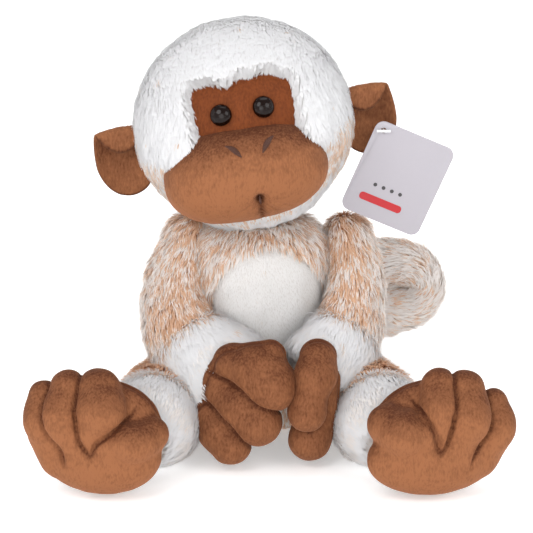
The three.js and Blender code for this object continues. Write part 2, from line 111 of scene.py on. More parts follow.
def linear(code: str) -> tuple[float, float, float, float]:
    """An sRGB hex colour, six digits after a hash, as linear red, green, blue and alpha."""
    parts = [int(code[i : i + 2], 16) / 255 for i in (1, 3, 5)]
    return (*[p / 12.92 if p <= 0.04045 else ((p + 0.055) / 1.055) ** 2.4 for p in parts], 1.0)


def wire(tree: bpy.types.NodeTree, node: bpy.types.Node, **inputs) -> None:
    """Sets or links a node's inputs.

    Args:
        tree: The tree that the node is in.
        node: The node.
        **inputs: A value, or an output socket to link, for each input. An underscore in a name
            stands for a space, and a name such as n1 means the input with that index.
    """
    for name, value in inputs.items():
        indexed = name[0] == "n" and name[1:].isdigit()
        socket = node.inputs[int(name[1:]) if indexed else name.replace("_", " ")]
        if isinstance(value, Socket):
            tree.links.new(value, socket)
        else:
            socket.default_value = value


def add(tree: bpy.types.NodeTree, kind: str, settings: dict | None = None, **inputs) -> bpy.types.Node:
    """Adds a node.

    Args:
        tree: The tree that it goes in.
        kind: The node's type name, without "Node" for a shader's or geometry's own.
        settings: Its properties.
        **inputs: Its inputs, as wire() takes them.

    Returns:
        The node.
    """
    node = tree.nodes.new(kind)
    for name, value in (settings or {}).items():
        setattr(node, name, value)
    wire(tree, node, **inputs)
    return node


def new_material(name: str) -> tuple[bpy.types.Material, bpy.types.NodeTree, bpy.types.Node]:
    """A new material, its tree and its Principled shader."""
    material = bpy.data.materials.new(name)
    material.use_nodes = True
    tree = material.node_tree
    shader = next(node for node in tree.nodes if node.type == "BSDF_PRINCIPLED")
    return material, tree, shader


def mixed(tree: bpy.types.NodeTree, share: float | Socket, dark: tuple | Socket,
          light: tuple | Socket) -> Socket:
    """Mixes two colours by the share of the second one."""
    return add(tree, "ShaderNodeMix", {"data_type": "RGBA"}, n0=share, n6=dark, n7=light).outputs[2]


def attribute(tree: bpy.types.NodeTree, name: str) -> Socket:
    """One of the mesh's own numbers."""
    return add(tree, "ShaderNodeAttribute", {"attribute_name": name}).outputs["Fac"]


def grain(tree: bpy.types.NodeTree, size_mm: float, detail: float = 3.0,
          roughness: float = 0.5, squash: float | None = None) -> Socket:
    """Noise that is fixed to the object, with bumps of a given size, stretched along Z by a squash."""
    place = add(tree, "ShaderNodeTexCoord").outputs["Object"]
    if squash is not None:
        place = add(tree, "ShaderNodeMapping", Vector=place, Scale=(1.0, 1.0, squash)).outputs[0]
    return add(tree, "ShaderNodeTexNoise", Vector=place, Scale=1 / (size_mm * MM), Detail=detail,
               Roughness=roughness).outputs[0]


@dataclass(frozen=True)
class LongPile:
    """Faux fur: acrylic pile knitted into a backing, tips paler than roots and brushed up.

    The strands carry "along", 0 at the root and 1 at the tip, and "tone", 0 where the dyed
    under-colour shows through and 1 where the white tips cover it.
    """

    name: str
    root: str
    tip: str
    streak: str
    streak_tip: str

    def shades(self, tree: bpy.types.NodeTree, share: Socket) -> tuple[Socket, Socket]:
        """The plain and the dyed colour, from root to tip."""
        return (mixed(tree, share, linear(self.root), linear(self.tip)),
                mixed(tree, share, linear(self.streak), linear(self.streak_tip)))

    def strands(self) -> bpy.types.Material:
        """The strands' material: a soft, matt fibre that lets light through."""
        material, tree, shader = new_material(self.name)
        late = add(tree, "ShaderNodeMapRange", {"interpolation_type": "SMOOTHSTEP"},
                   Value=attribute(tree, "along"), From_Min=0.05, From_Max=0.7).outputs[0]
        plain, dyed = self.shades(tree, late)
        color = mixed(tree, attribute(tree, "tone"), dyed, plain)
        wire(tree, shader, Base_Color=color, Roughness=0.9, Specular_IOR_Level=0.1)
        through = add(tree, "ShaderNodeBsdfTranslucent", Color=color)
        both = add(tree, "ShaderNodeMixShader", n0=0.4, n1=shader.outputs[0], n2=through.outputs[0])
        output = next(node for node in tree.nodes if node.type == "OUTPUT_MATERIAL")
        wire(tree, output, Surface=both.outputs[0])
        return material

    def backing(self) -> bpy.types.Material:
        """The cloth that the pile grows from, with a faint mottle the size of a tuft."""
        material, tree, shader = new_material(f"{self.name}_backing")
        plain, dyed = self.shades(tree, grain(tree, 1000 / 260))
        wire(tree, shader, Base_Color=mixed(tree, attribute(tree, "frost"), plain, dyed), Roughness=0.95)
        return material


@dataclass(frozen=True)
class Velboa:
    """Velboa: a warp-knitted polyester plush with a 2 mm pile that has a nap.

    Brushed one way the pile looks pale, and dark the other way; that look is painted on as light and shade. A
    stored share from 0 to 1 paints it: paler where a piece faces one way, darker facing away and in its
    tucks, seams and creases.
    """

    name: str
    dark: str
    light: str
    grain_mm: float = 1.3  # coarser than the real pile, so that it shows
    patch_mm: float = 9.0

    def cloth(self) -> bpy.types.Material:
        """The velboa's material: a matt plush with a speckle of single tufts and a soft sheen."""
        material, tree, shader = new_material(self.name)
        tufts = grain(tree, self.grain_mm, 2.0, 0.6, squash=0.4)
        some = add(tree, "ShaderNodeMath", {"operation": "MULTIPLY_ADD"}, n0=tufts, n1=1.2, n2=-0.6)
        more = add(tree, "ShaderNodeMath", {"operation": "MULTIPLY_ADD"},
                   n0=grain(tree, self.patch_mm), n1=0.6, n2=-0.3)
        both = add(tree, "ShaderNodeMath", {"operation": "ADD"}, n0=some.outputs[0], n1=more.outputs[0])
        # Painted light and shade: the stored share pales the cloth where a piece faces one way and darkens it
        # facing away and in its tucks, seams and creases.
        share = add(tree, "ShaderNodeMath", {"operation": "ADD", "use_clamp": True},
                    n0=both.outputs[0], n1=attribute(tree, "nap")).outputs[0]
        bump = add(tree, "ShaderNodeBump", Strength=0.35, Distance=0.4 * MM, Height=tufts)
        wire(tree, shader, Base_Color=mixed(tree, share, linear(self.dark), linear(self.light)),
             Normal=bump.outputs[0], Roughness=0.8, Sheen_Weight=0.25, Sheen_Roughness=0.4,
             Sheen_Tint=linear("#e0a27c"), Specular_IOR_Level=0.2)
        return material


@dataclass(frozen=True)
class PlainFinish:
    """A finish with one colour, a fine mottle in it and a fine bump."""

    name: str
    color: str
    roughness: float
    mottle_mm: float
    change: float = 0.1
    bump_mm: float = 0.02
    specular: float = 0.5

    def material(self) -> bpy.types.Material:
        """The finish's material, mottled at its own scale."""
        material, tree, shader = new_material(self.name)
        mottle = grain(tree, self.mottle_mm)
        base = linear(self.color)
        darker = tuple(c * (1 - self.change) for c in base[:3]) + (1.0,)
        bump = add(tree, "ShaderNodeBump", Strength=0.3, Distance=self.bump_mm * MM, Height=mottle)
        wire(tree, shader, Base_Color=mixed(tree, mottle, darker, base), Normal=bump.outputs[0],
             Roughness=self.roughness, Specular_IOR_Level=self.specular)
        return material


WHITE_PLUSH = LongPile("white_acrylic_plush", "#e8e6e5", "#f1f1f2", "#c98d5c", "#ead2bd")
FROSTED_PLUSH = LongPile("frosted_acrylic_plush", "#dfd0c2", "#f6f2ef", "#b0622c", "#e9c6a8")
TUMMY_PLUSH = LongPile("tummy_minky", "#e6e3e0", "#f4f3f2", "#d9cfc4", "#efe9e2")
BROWN_VELBOA = Velboa("brown_velboa", "#4a2410", "#8d5a3a")
FACE_VELBOA = Velboa("face_velboa", "#381505", "#703817")
SAFETY_EYE = PlainFinish("moulded_eye_plastic", "#150704", 0.06, 6.0, 0.3, 0.004, specular=0.22)
WASHER = PlainFinish("moulded_washer_plastic", "#e9e9e4", 0.5, 3.0)
FIBRE = PlainFinish("polyester_fibre", "#f4f3f0", 0.95, 2.0, 0.1, 0.3)
THREAD = PlainFinish("satin_stitch_thread", "#4b2410", 0.6, 0.5, 0.4, 0.08)
CARD = PlainFinish("coated_card", "#a9a5ac", 0.4, 2.0, 0.03, 0.01)
RED_INK = PlainFinish("red_print_on_card", "#b3161f", 0.4, 1.5, 0.08, 0.01)
DARK_INK = PlainFinish("dark_print_on_card", "#3a3638", 0.4, 1.5, 0.08, 0.01)
NYLON = PlainFinish("clear_nylon", "#e9ecee", 0.25, 3.0, 0.04, 0.01)
SATIN = PlainFinish("woven_satin", "#f1efea", 0.45, 0.5, 0.12, 0.05)


# ---- Mesh work ------------------------------------------------------------------------------


def linked(name: str, mesh: bpy.types.Mesh) -> Object:
    """A new object in the scene that holds a mesh."""
    obj = bpy.data.objects.new(name, mesh)
    bpy.context.scene.collection.objects.link(obj)
    return obj


def moved_by(points: Array, matrix: Matrix) -> Array:
    """Points turned and moved by a matrix."""
    turn = np.array(matrix)
    return points @ turn[:3, :3].T + turn[:3, 3]


def mesh_object(name: str, points: Array, faces: list, matrix: Matrix | None = None,
                closed: bool = True) -> Object:
    """Makes a smooth-shaded object at the origin.

    Args:
        name: The object's name.
        points: Its vertices, in millimetres.
        faces: Its faces, as lists of vertex numbers.
        matrix: Where its own frame lies, in millimetres.
        closed: Whether its faces are to be turned outwards.

    Returns:
        The object, linked to the scene.
    """
    placed = np.asarray(points, float)
    if matrix is not None:
        placed = moved_by(placed, matrix)
    mesh = bpy.data.meshes.new(name)
    mesh.from_pydata((placed * MM).tolist(), [], faces)
    if closed:
        made = bmesh.new()
        made.from_mesh(mesh)
        bmesh.ops.recalc_face_normals(made, faces=made.faces)
        made.to_mesh(mesh)
        made.free()
    mesh.shade_smooth()
    mesh.update()
    return linked(name, mesh)


def icosphere(name: str, subdivisions: int) -> Object:
    """A ball 1 metre in radius, to be moved into shape."""
    made = bmesh.new()
    bmesh.ops.create_icosphere(made, subdivisions=subdivisions, radius=1.0)
    mesh = bpy.data.meshes.new(name)
    made.to_mesh(mesh)
    made.free()
    return linked(name, mesh)


def evaluated(obj: Object) -> bpy.types.Mesh:
    """A plain mesh of an object with its modifiers applied."""
    graph = bpy.context.evaluated_depsgraph_get()
    return bpy.data.meshes.new_from_object(obj.evaluated_get(graph), depsgraph=graph)


def baked(obj: Object) -> Object:
    """Applies every modifier of an object."""
    mesh = evaluated(obj)
    obj.modifiers.clear()
    old = obj.data
    obj.data = mesh
    mesh.name = obj.name
    bpy.data.meshes.remove(old)
    return obj


def dressed(obj: Object, *materials: bpy.types.Material) -> Object:
    """Gives an object these materials and no others."""
    obj.data.materials.clear()
    for material in materials:
        obj.data.materials.append(material)
    return obj


def vertices_of(obj: Object) -> Array:
    """An object's vertices, in millimetres."""
    flat = np.zeros(len(obj.data.vertices) * 3, np.float32)
    obj.data.vertices.foreach_get("co", flat)
    return flat.reshape(-1, 3).astype(float) / MM


def normals_of(obj: Object) -> Array:
    """An object's vertex normals."""
    flat = np.zeros(len(obj.data.vertices) * 3, np.float32)
    obj.data.vertex_normals.foreach_get("vector", flat)
    return flat.reshape(-1, 3).astype(float)


def move_vertices(obj: Object, points: Array) -> None:
    """Moves an object's vertices to these places, in millimetres."""
    obj.data.vertices.foreach_set("co", (points * MM).astype(np.float32).ravel())
    obj.data.update()


def set_value(obj: Object, name: str, values: Array) -> None:
    """Stores one number, or one vector, for each vertex."""
    values = np.asarray(values, np.float32)
    kind, key = ("FLOAT_VECTOR", "vector") if values.ndim == 2 else ("FLOAT", "value")
    stored = obj.data.attributes.get(name) or obj.data.attributes.new(name, kind, "POINT")
    stored.data.foreach_set(key, values.ravel())


def step(values: Array, low: float, high: float) -> Array:
    """A smooth step from 0 at low to 1 at high."""
    share = np.clip((values - low) / (high - low), 0, 1)
    return share * share * (3 - 2 * share)


def bump_noise(points: Array, size: float, seed: float = 0.0) -> Array:
    """Smooth noise from about -1 to 1 at each place.

    Args:
        points: Places, in millimetres.
        size: How far apart its bumps are, in millimetres.
        seed: Moves the pattern.

    Returns:
        One number for each place.
    """
    shift = Vector((seed, 2.3 * seed, -1.7 * seed))
    return np.array([noise.noise(Vector(p) / size + shift) for p in points])


def unit(vectors: Array) -> Array:
    """Vectors of length 1."""
    return vectors / np.maximum(np.linalg.norm(vectors, axis=-1, keepdims=True), 1e-9)


def laid_flat(vectors: Array, normals: Array) -> Array:
    """Vectors of length 1 that lie in the surface with these normals."""
    return unit(vectors - normals * (vectors * normals).sum(1)[:, None])


def grid_faces(rows: int, columns: int) -> list:
    """The quads of a grid of vertices."""
    corners = [(r * columns + c, (r + 1) * columns + c) for r in range(rows - 1) for c in range(columns - 1)]
    return [[a, a + 1, b + 1, b] for a, b in corners]


def capped_faces(rings: int, sides: int) -> list:
    """The faces of a pole, some rings of vertices, and another pole."""
    last, made = (rings - 1) * sides + 1, []
    for i in range(sides):
        j = (i + 1) % sides
        made.append([0, 1 + j, 1 + i])
        made.append([last + sides, last + i, last + j])
        for ring in range(rings - 1):
            a, b = 1 + ring * sides, 1 + (ring + 1) * sides
            made.append([a + i, a + j, b + j, b + i])
    return made


def looped_faces(rings: int, sides: int) -> list:
    """The quads between rings of vertices, the last of which meets the first."""
    made = []
    for ring in range(rings):
        a, b = ring * sides, ((ring + 1) % rings) * sides
        made.extend([a + i, a + (i + 1) % sides, b + (i + 1) % sides, b + i] for i in range(sides))
    return made


def smooth_path(points: Array, count: int = 240) -> Array:
    """A centripetal Catmull-Rom curve through some points.

    Args:
        points: The points that it passes through.
        count: How many points to give back.

    Returns:
        Points evenly spaced along the curve.
    """
    ends = np.vstack([2 * points[0] - points[1], points, 2 * points[-1] - points[-2]])
    knots = np.concatenate([[0], np.cumsum(np.linalg.norm(np.diff(ends, axis=0), axis=1) ** 0.5)])
    fine = []

    def between(t: float, start: float, end: float, a: Array, b: Array) -> Array:
        return (end - t) / (end - start) * a + (t - start) / (end - start) * b

    for i in range(1, len(ends) - 2):
        t0, t1, t2, t3 = knots[i - 1 : i + 3]
        p0, p1, p2, p3 = ends[i - 1 : i + 3]
        for t in np.linspace(t1, t2, 40, endpoint=i == len(ends) - 3):
            a1, a2, a3 = between(t, t0, t1, p0, p1), between(t, t1, t2, p1, p2), between(t, t2, t3, p2, p3)
            b1, b2 = between(t, t0, t2, a1, a2), between(t, t1, t3, a2, a3)
            fine.append(between(t, t1, t2, b1, b2))
    fine = np.array(fine)
    lengths = np.concatenate([[0], np.cumsum(np.linalg.norm(np.diff(fine, axis=0), axis=1))])
    wanted = np.linspace(0, lengths[-1], count)
    return np.stack([np.interp(wanted, lengths, fine[:, k]) for k in range(3)], 1)


class Spine:
    """A smooth centreline with a direction across it at each place."""

    def __init__(self, path: list, across: Point) -> None:
        """Fits the line.

        Args:
            path: The points of the centreline, in millimetres.
            across: A direction that stays across it.
        """
        self.line = smooth_path(np.array(path, float))
        self.across = np.array(across, float)
        self.slopes = unit(np.gradient(self.line, axis=0))
        self.shares = np.linspace(0, 1, len(self.line))
        self.length = float(np.linalg.norm(np.diff(self.line, axis=0), axis=1).sum())

    def at(self, share: float, beyond: float) -> tuple[Array, Array, Array, Array]:
        """The place at a share of the length, and beyond it: its centre, tangent, side and up."""
        centre = np.array([np.interp(share, self.shares, self.line[:, k]) for k in range(3)])
        tangent = unit(np.array([np.interp(share, self.shares, self.slopes[:, k]) for k in range(3)]))
        side = unit(self.across - tangent * np.dot(tangent, self.across))
        return centre + tangent * beyond, tangent, side, np.cross(side, tangent)


@dataclass
class Tube:
    """A stuffed tube with round ends.

    Attributes:
        path: The points of its centreline, in millimetres.
        radii: Its radius at even steps along it.
        flat: Its depth as a share of its width.
        across: A direction that stays across it.
        shrink: How far its skin is taken inwards.
        blunt: How far each end stands out, as a share of the radius there.
        sides: How many vertices go round it.
        rings: How many steps go along it.
    """

    path: list
    radii: list
    flat: float = 1.0
    across: Point = (1, 0, 0)
    shrink: float = 0.0
    blunt: tuple[float, float] = (1.0, 1.0)
    sides: int = 28
    rings: int = 40

    def skin(self) -> tuple[Array, list, Array, Array]:
        """Makes the tube.

        Returns:
            Points, faces, the share of the length at each point, and the direction along it there.
        """
        spine = Spine(self.path, self.across)
        length = spine.length
        radii = np.array(self.radii, float)
        place = spine.shares * (len(radii) - 1)
        low = np.minimum(place.astype(int), len(radii) - 2)
        mix = step(place - low, 0, 1)
        thick = radii[low] * (1 - mix) + radii[low + 1] * mix - self.shrink
        first, last = (radii[0] - self.shrink) * self.blunt[0], (radii[-1] - self.shrink) * self.blunt[1]
        points, along, lie = [], [], []
        angles = np.arange(self.sides) * 2 * math.pi / self.sides
        for ring in range(self.rings + 1):
            eased = (1 - math.cos(ring / self.rings * math.pi)) / 2
            at = -first + eased * (length + first + last)
            share = min(max(at / length, 0), 1)
            centre, tangent, side, up = spine.at(share, min(at, 0) + max(at - length, 0))
            radius = float(np.interp(share, spine.shares, thick))
            if at < 0 and first > 0:
                radius *= math.sqrt(max(0, 1 - (at / first) ** 2))
            if at > length and last > 0:
                radius *= math.sqrt(max(0, 1 - ((at - length) / last) ** 2))
            circle = np.cos(angles)[:, None] * side + self.flat * np.sin(angles)[:, None] * up
            placed = [centre] if ring in (0, self.rings) else centre + radius * circle
            points.extend(placed)
            along.extend([share] * len(placed))
            lie.extend([tangent] * len(placed))
        return np.array(points), capped_faces(self.rings - 1, self.sides), np.array(along), np.array(lie)


def outwards(obj: Object) -> Object:
    """Merges an object's doubles and turns its faces outwards."""
    made = bmesh.new()
    made.from_mesh(obj.data)
    bmesh.ops.remove_doubles(made, verts=made.verts, dist=1e-6)
    bmesh.ops.recalc_face_normals(made, faces=made.faces)
    made.to_mesh(obj.data)
    made.free()
    obj.data.shade_smooth()
    return obj


def joined(name: str, parts: list) -> Object:
    """Joins objects, which are used up, into a new one."""
    whole = bmesh.new()
    for part in parts:
        whole.from_mesh(part.data)
        bpy.data.objects.remove(part)
    mesh = bpy.data.meshes.new(name)
    whole.to_mesh(mesh)
    whole.free()
    return linked(name, mesh)


def remeshed(obj: Object, voxel: float) -> bpy.types.Modifier:
    """Gives an object a remesh modifier with faces of a size in millimetres."""
    remesh = obj.modifiers.new("remesh", "REMESH")
    remesh.mode = "VOXEL"
    remesh.voxel_size = voxel * MM
    return remesh


def fused(name: str, parts: list, voxel: float, rounds: int) -> Object:
    """Joins overlapping closed objects into one smooth skin.

    Args:
        name: The new object's name.
        parts: The objects, which are used up.
        voxel: The size of its faces, in millimetres.
        rounds: How many times it is smoothed.

    Returns:
        The new object.
    """
    obj = joined(name, parts)
    remeshed(obj, voxel).use_smooth_shade = True
    soften = obj.modifiers.new("soften", "SMOOTH")
    soften.factor = 0.5
    soften.iterations = rounds
    return baked(obj)


def thickened(obj: Object, thickness: float, offset: float = -1) -> None:
    """Gives a sheet its thickness, in millimetres, not yet applied."""
    thick = obj.modifiers.new("cloth", "SOLIDIFY")
    thick.thickness = thickness * MM
    thick.offset = offset


def nearest(points: Array) -> KDTree:
    """A tree that finds the nearest of some points."""
    tree = KDTree(len(points))
    for i, point in enumerate(points):
        tree.insert(point, i)
    tree.balance()
    return tree


CLOTH_FRAMES = 20


def inflated(obj: Object, held: Array, cap: float) -> None:
    """Lets a stuffed piece's cloth swell between its seams, and moves the piece as it went.

    Args:
        obj: The piece, in its final place.
        held: A number for each vertex, 1 on a seam, which doesn't move.
        cap: The furthest that the cloth may move, in millimetres.
    """
    fine = vertices_of(obj)
    shell = linked("cloth_shell", obj.data.copy())
    remeshed(shell, 4.0)
    baked(shell)
    start = vertices_of(shell)
    tree = nearest(fine)
    seam = shell.vertex_groups.new(name="seam")
    for i, point in enumerate(start):
        if float(held[tree.find(point)[1]]) > 0.3:
            seam.add([i], 1.0, "REPLACE")
    cloth = shell.modifiers.new("cloth", "CLOTH")
    for name, value in {"quality": 5, "mass": 0.15, "tension_stiffness": 12, "bending_stiffness": 0.4,
                        "use_pressure": True, "uniform_pressure_force": 4,
                        "vertex_group_mass": "seam"}.items():
        setattr(cloth.settings, name, value)
    cloth.settings.effector_weights.gravity = 0
    cloth.collision_settings.use_collision = False
    cloth.point_cache.frame_start = 1
    cloth.point_cache.frame_end = CLOTH_FRAMES
    scene = bpy.context.scene
    for number in range(1, CLOTH_FRAMES + 1):
        scene.frame_set(number)
    mesh = evaluated(shell)
    shell.modifiers.clear()
    shell.data = mesh
    moved = np.nan_to_num(vertices_of(shell) - start)
    bpy.data.objects.remove(shell)
    scene.frame_set(1)
    far = np.linalg.norm(moved, axis=1, keepdims=True)
    moved = moved * np.minimum(1, cap / np.maximum(far, 1e-6))
    tree = nearest(start)
    shift = np.zeros_like(fine)
    for i, point in enumerate(fine):
        near = tree.find_n(point, 6)
        share = np.array([1 / (0.5 + distance) ** 2 for _, _, distance in near])
        shift[i] = (moved[[index for _, index, _ in near]] * share[:, None]).sum(0) / share.sum()
    move_vertices(obj, fine + shift)
    LOG.info("%s: its cloth moved up to %.2f mm", obj.name, np.linalg.norm(shift, axis=1).max())


# ---- Pile -----------------------------------------------------------------------------------


class Graph:
    """A Geometry Nodes tree with named inputs, which ends in Set Material."""

    def __init__(self, name: str, floats: tuple, others: dict | None = None) -> None:
        """Starts the tree.

        Args:
            name: The tree's name.
            floats: The names of its numbers.
            others: The kinds of its further inputs, by name.
        """
        self.tree = bpy.data.node_groups.new(name, "GeometryNodeTree")
        kinds = {"Ground": "Geometry", **dict.fromkeys(floats, "Float"), **(others or {}),
                 "Material": "Material"}
        for label, kind in kinds.items():
            self.tree.interface.new_socket(label, in_out="INPUT", socket_type=f"NodeSocket{kind}")
        self.tree.interface.new_socket("Made", in_out="OUTPUT", socket_type="NodeSocketGeometry")
        self.given = add(self.tree, "NodeGroupInput").outputs

    def put(self, kind: str, settings: dict | None = None, **inputs) -> Socket:
        """Adds a node and gives its first output."""
        return add(self.tree, kind, settings, **inputs).outputs[0]

    def math(self, operation: str, a, b=0.0, c=0.0) -> Socket:
        """A sum of numbers."""
        return self.put("ShaderNodeMath", {"operation": operation}, n0=a, n1=b, n2=c)

    def vector(self, operation: str, a, b=(0, 0, 0)) -> Socket:
        """A sum of vectors."""
        return self.put("ShaderNodeVectorMath", {"operation": operation}, n0=a, n1=b)

    def scaled(self, a, scale) -> Socket:
        """A vector made longer."""
        return self.put("ShaderNodeVectorMath", {"operation": "SCALE"}, n0=a, Scale=scale)

    def named(self, name: str, kind: str) -> Socket:
        """An attribute."""
        return self.put("GeometryNodeInputNamedAttribute", {"data_type": kind}, Name=name)

    def random(self, low: float, high: float, seed: int) -> Socket:
        """A random number for each point."""
        return add(self.tree, "FunctionNodeRandomValue", {"data_type": "FLOAT"}, Seed=seed, n2=low,
                   n3=high).outputs[1]

    def stored(self, geometry: Socket, name: str, value: Socket, kind: str,
               domain: str = "POINT") -> Socket:
        """Stores an attribute."""
        return self.put("GeometryNodeStoreNamedAttribute", {"data_type": kind, "domain": domain},
                        Geometry=geometry, Name=name, Value=value)

    def turned(self, up, side) -> Socket:
        """A turn that takes Z to one direction and Y near another."""
        return self.put("FunctionNodeAxesToRotation", {"primary_axis": "Z", "secondary_axis": "Y"},
                        Primary_Axis=up, Secondary_Axis=side)

    def end(self, geometry: Socket) -> "Graph":
        """Sets the material and ends the tree."""
        made = self.put("GeometryNodeSetMaterial", Geometry=geometry, Material=self.given["Material"])
        add(self.tree, "NodeGroupOutput", Made=made)
        return self

    def applied(self, obj: Object, values: dict) -> Object:
        """Runs the tree on an object, whose mesh becomes what it makes."""
        grower = obj.modifiers.new("graph", "NODES")
        grower.node_group = self.tree
        for item in self.tree.interface.items_tree:
            if item.name in values:
                grower[item.identifier] = values[item.name]
        bpy.context.view_layer.update()
        return baked(obj)


def pile_blade() -> Object:
    """One strand, 1 long and 1 wide: a strip that bends over along Y and ends in a point."""
    levels = [(-0.06, 0.42, 0.0), (0.35, 0.5, 0.06), (0.74, 0.36, 0.27)]
    points = [(sign * wide, lean, high) for high, wide, lean in levels for sign in (-1, 1)]
    points.append((0.0, 0.58, 1.0))
    obj = mesh_object("pile_blade", np.array(points) / MM, [[0, 1, 3, 2], [2, 3, 5, 4], [4, 5, 6]])
    set_value(obj, "along", np.array([0, 0, 0.4, 0.4, 0.75, 0.75, 1.0]))
    layer = obj.data.uv_layers.new(name="OFBake")
    for loop in obj.data.loops:
        x, _, z = points[loop.vertex_index]
        layer.data[loop.index].uv = (x + 0.5, (z + 0.06) / 1.06)
    obj.hide_render = True
    return obj


def pile_graph(blade: Object) -> Graph:
    """The tree that grows pile on a skin, by repeating a strand.

    Points are spread over the skin. Each takes a strand whose direction lies between the skin's
    normal and its comb, and nearby strands lean together, so that they gather in tufts.

    Args:
        blade: The strand.

    Returns:
        The tree, whose inputs are the pile's sizes.
    """
    g = Graph("pile", ("Length", "Width", "Spacing", "Stand", "Mess", "Tuft", "Streaks", "Evenness",
                       "Part", "Parts"), {"Seed": "Int"})
    given = g.given
    amount = g.named("pile", "FLOAT")
    area = g.math("MULTIPLY", given["Spacing"], given["Spacing"])
    spread = add(g.tree, "GeometryNodeDistributePointsOnFaces", {"distribute_method": "POISSON"},
                 Mesh=given["Ground"], Distance_Min=g.math("MULTIPLY", given["Spacing"], 0.62),
                 Density_Max=g.math("DIVIDE", 1.0, area), Seed=given["Seed"],
                 Density_Factor=g.math("MINIMUM", g.math("MULTIPLY", amount, 4.0), 1.0)).outputs
    order = g.put("GeometryNodeInputIndex")
    turn_of = g.math("SUBTRACT", g.math("MODULO", order, given["Parts"]), given["Part"])
    kept = g.put("GeometryNodeDeleteGeometry", {"domain": "POINT"}, Geometry=spread["Points"],
                 Selection=g.math("GREATER_THAN", g.math("ABSOLUTE", turn_of), 0.5))
    points = g.stored(kept, "ground", spread["Normal"], "FLOAT_VECTOR")
    points = g.stored(points, "cell", g.put("GeometryNodeInputIndex"), "INT")
    # The direction of each strand.
    place, ground = g.put("GeometryNodeInputPosition"), g.named("ground", "FLOAT_VECTOR")
    tuft = add(g.tree, "ShaderNodeTexNoise", Vector=place, Scale=g.math("DIVIDE", 1.0, given["Tuft"]),
               Detail=2.0, Roughness=0.55).outputs["Color"]
    stray = g.put("FunctionNodeRandomValue", {"data_type": "FLOAT_VECTOR"}, n0=(-1, -1, -1),
                  n1=(1, 1, 1), Seed=3)
    sway = g.scaled(g.vector("SUBTRACT", tuft, (0.5, 0.5, 0.5)), g.math("MULTIPLY", given["Mess"], 4.0))
    comb = g.vector("ADD", g.named("comb", "FLOAT_VECTOR"), sway)
    comb = g.vector("ADD", comb, g.scaled(stray, g.math("MULTIPLY", given["Mess"], 0.45)))
    lying = g.scaled(comb, g.math("SUBTRACT", 1.0, given["Stand"]))
    aim = g.vector("NORMALIZE", g.vector("ADD", g.scaled(ground, given["Stand"]), lying))
    height = g.math("MULTIPLY", g.math("MULTIPLY", given["Length"], amount), g.random(0.72, 1.12, 5))
    wide = g.math("MULTIPLY", given["Width"], g.random(0.7, 1.25, 6))
    # Where the dyed under-colour shows.
    patch = g.put("ShaderNodeTexNoise", Vector=place, Scale=g.math("DIVIDE", 0.8, given["Tuft"]),
                  Detail=3.0, Roughness=0.65)
    mottled = g.math("ADD", patch, g.random(-0.22, 0.22, 7))
    frost = g.math("MULTIPLY", g.named("frost", "FLOAT"), given["Streaks"])
    edge = g.math("SUBTRACT", 0.86, frost)
    whiteness = g.put("ShaderNodeMapRange", {"interpolation_type": "SMOOTHSTEP"}, Value=mottled,
                      From_Min=g.math("ADD", edge, 0.05), From_Max=g.math("SUBTRACT", edge, 0.05))
    points = g.stored(points, "tone", whiteness, "FLOAT")
    # The strands, shaded like the skin under them, and none of them below the floor.
    source = add(g.tree, "GeometryNodeObjectInfo", {"transform_space": "ORIGINAL"}, Object=blade)
    copies = g.put("GeometryNodeInstanceOnPoints", Points=points, Instance=source.outputs["Geometry"],
                   Rotation=g.turned(aim, comb),
                   Scale=g.put("ShaderNodeCombineXYZ", X=wide, Y=height, Z=height))
    count = g.put("GeometryNodeAttributeDomainSize", {"component": "POINTCLOUD"}, Geometry=points)
    real = g.put("GeometryNodeRealizeInstances", Geometry=copies)
    facing = add(g.tree, "ShaderNodeMix", {"data_type": "VECTOR"}, n0=given["Evenness"],
                 n4=g.put("GeometryNodeInputNormal"), n5=ground).outputs[1]
    shaded = g.put("GeometryNodeSetMeshNormal", {"mode": "FREE", "domain": "POINT"}, Mesh=real,
                   Custom_Normal=g.vector("NORMALIZE", facing))
    above = g.vector("MAXIMUM", place, (-9, -9, 0.3 * MM))
    shaded = g.put("GeometryNodeSetPosition", Geometry=shaded, Position=above)
    # Each strand's own cell of the map.
    across = g.math("CEIL", g.math("SQRT", count))
    cell = g.named("cell", "INT")
    corner = g.put("ShaderNodeCombineXYZ", X=g.math("MODULO", cell, across),
                   Y=g.math("FLOOR", g.math("DIVIDE", cell, across)))
    inside = g.vector("ADD", g.scaled(g.named("OFBake", "FLOAT_VECTOR"), 0.7), (0.15, 0.15, 0))
    spot = g.scaled(g.vector("ADD", corner, inside), g.math("DIVIDE", 1.0, across))
    made = g.stored(shaded, "OFBake", spot, "FLOAT2", "CORNER")
    for name in ("cell", "comb", "pile", "frost", "ground"):
        made = g.put("GeometryNodeRemoveAttribute", Geometry=made, Name=name)
    return g.end(made)


@dataclass(frozen=True)
class Pile:
    """How a plush's pile grows.

    Attributes:
        length: From root to tip, in millimetres.
        width: Of one strand, which stands for a lock of fibres.
        spacing: Between strands.
        stand: 1 stands on end and 0 lies flat.
        mess: How far tufts lean off the comb.
        tuft: The size of a tuft.
        streaks: How much of the dyed under-colour shows.
        evenness: 1 shades every strand as the skin under it, 0 as itself.
    """

    length: float
    width: float
    spacing: float
    stand: float
    mess: float
    tuft: float
    streaks: float = 0.0
    evenness: float = 0.75


HOOD_PILE = Pile(7.2, 0.95, 0.665, 0.5, 0.08, 10.0, 0.36, 1.0)
FROST_PILE = Pile(8.4, 0.75, 0.72, 0.55, 0.38, 6.0, 0.46, 0.95)
CUFF_PILE = Pile(8.4, 0.8, 0.7, 0.5, 0.14, 9.0, 0.0, 1.0)
TUMMY_PILE = Pile(3.0, 0.7, 0.75, 0.6, 0.3, 6.0, 0.0, 1.0)


@dataclass
class Plush:
    """The two materials of one long-pile cloth."""

    strands: bpy.types.Material
    backing: bpy.types.Material


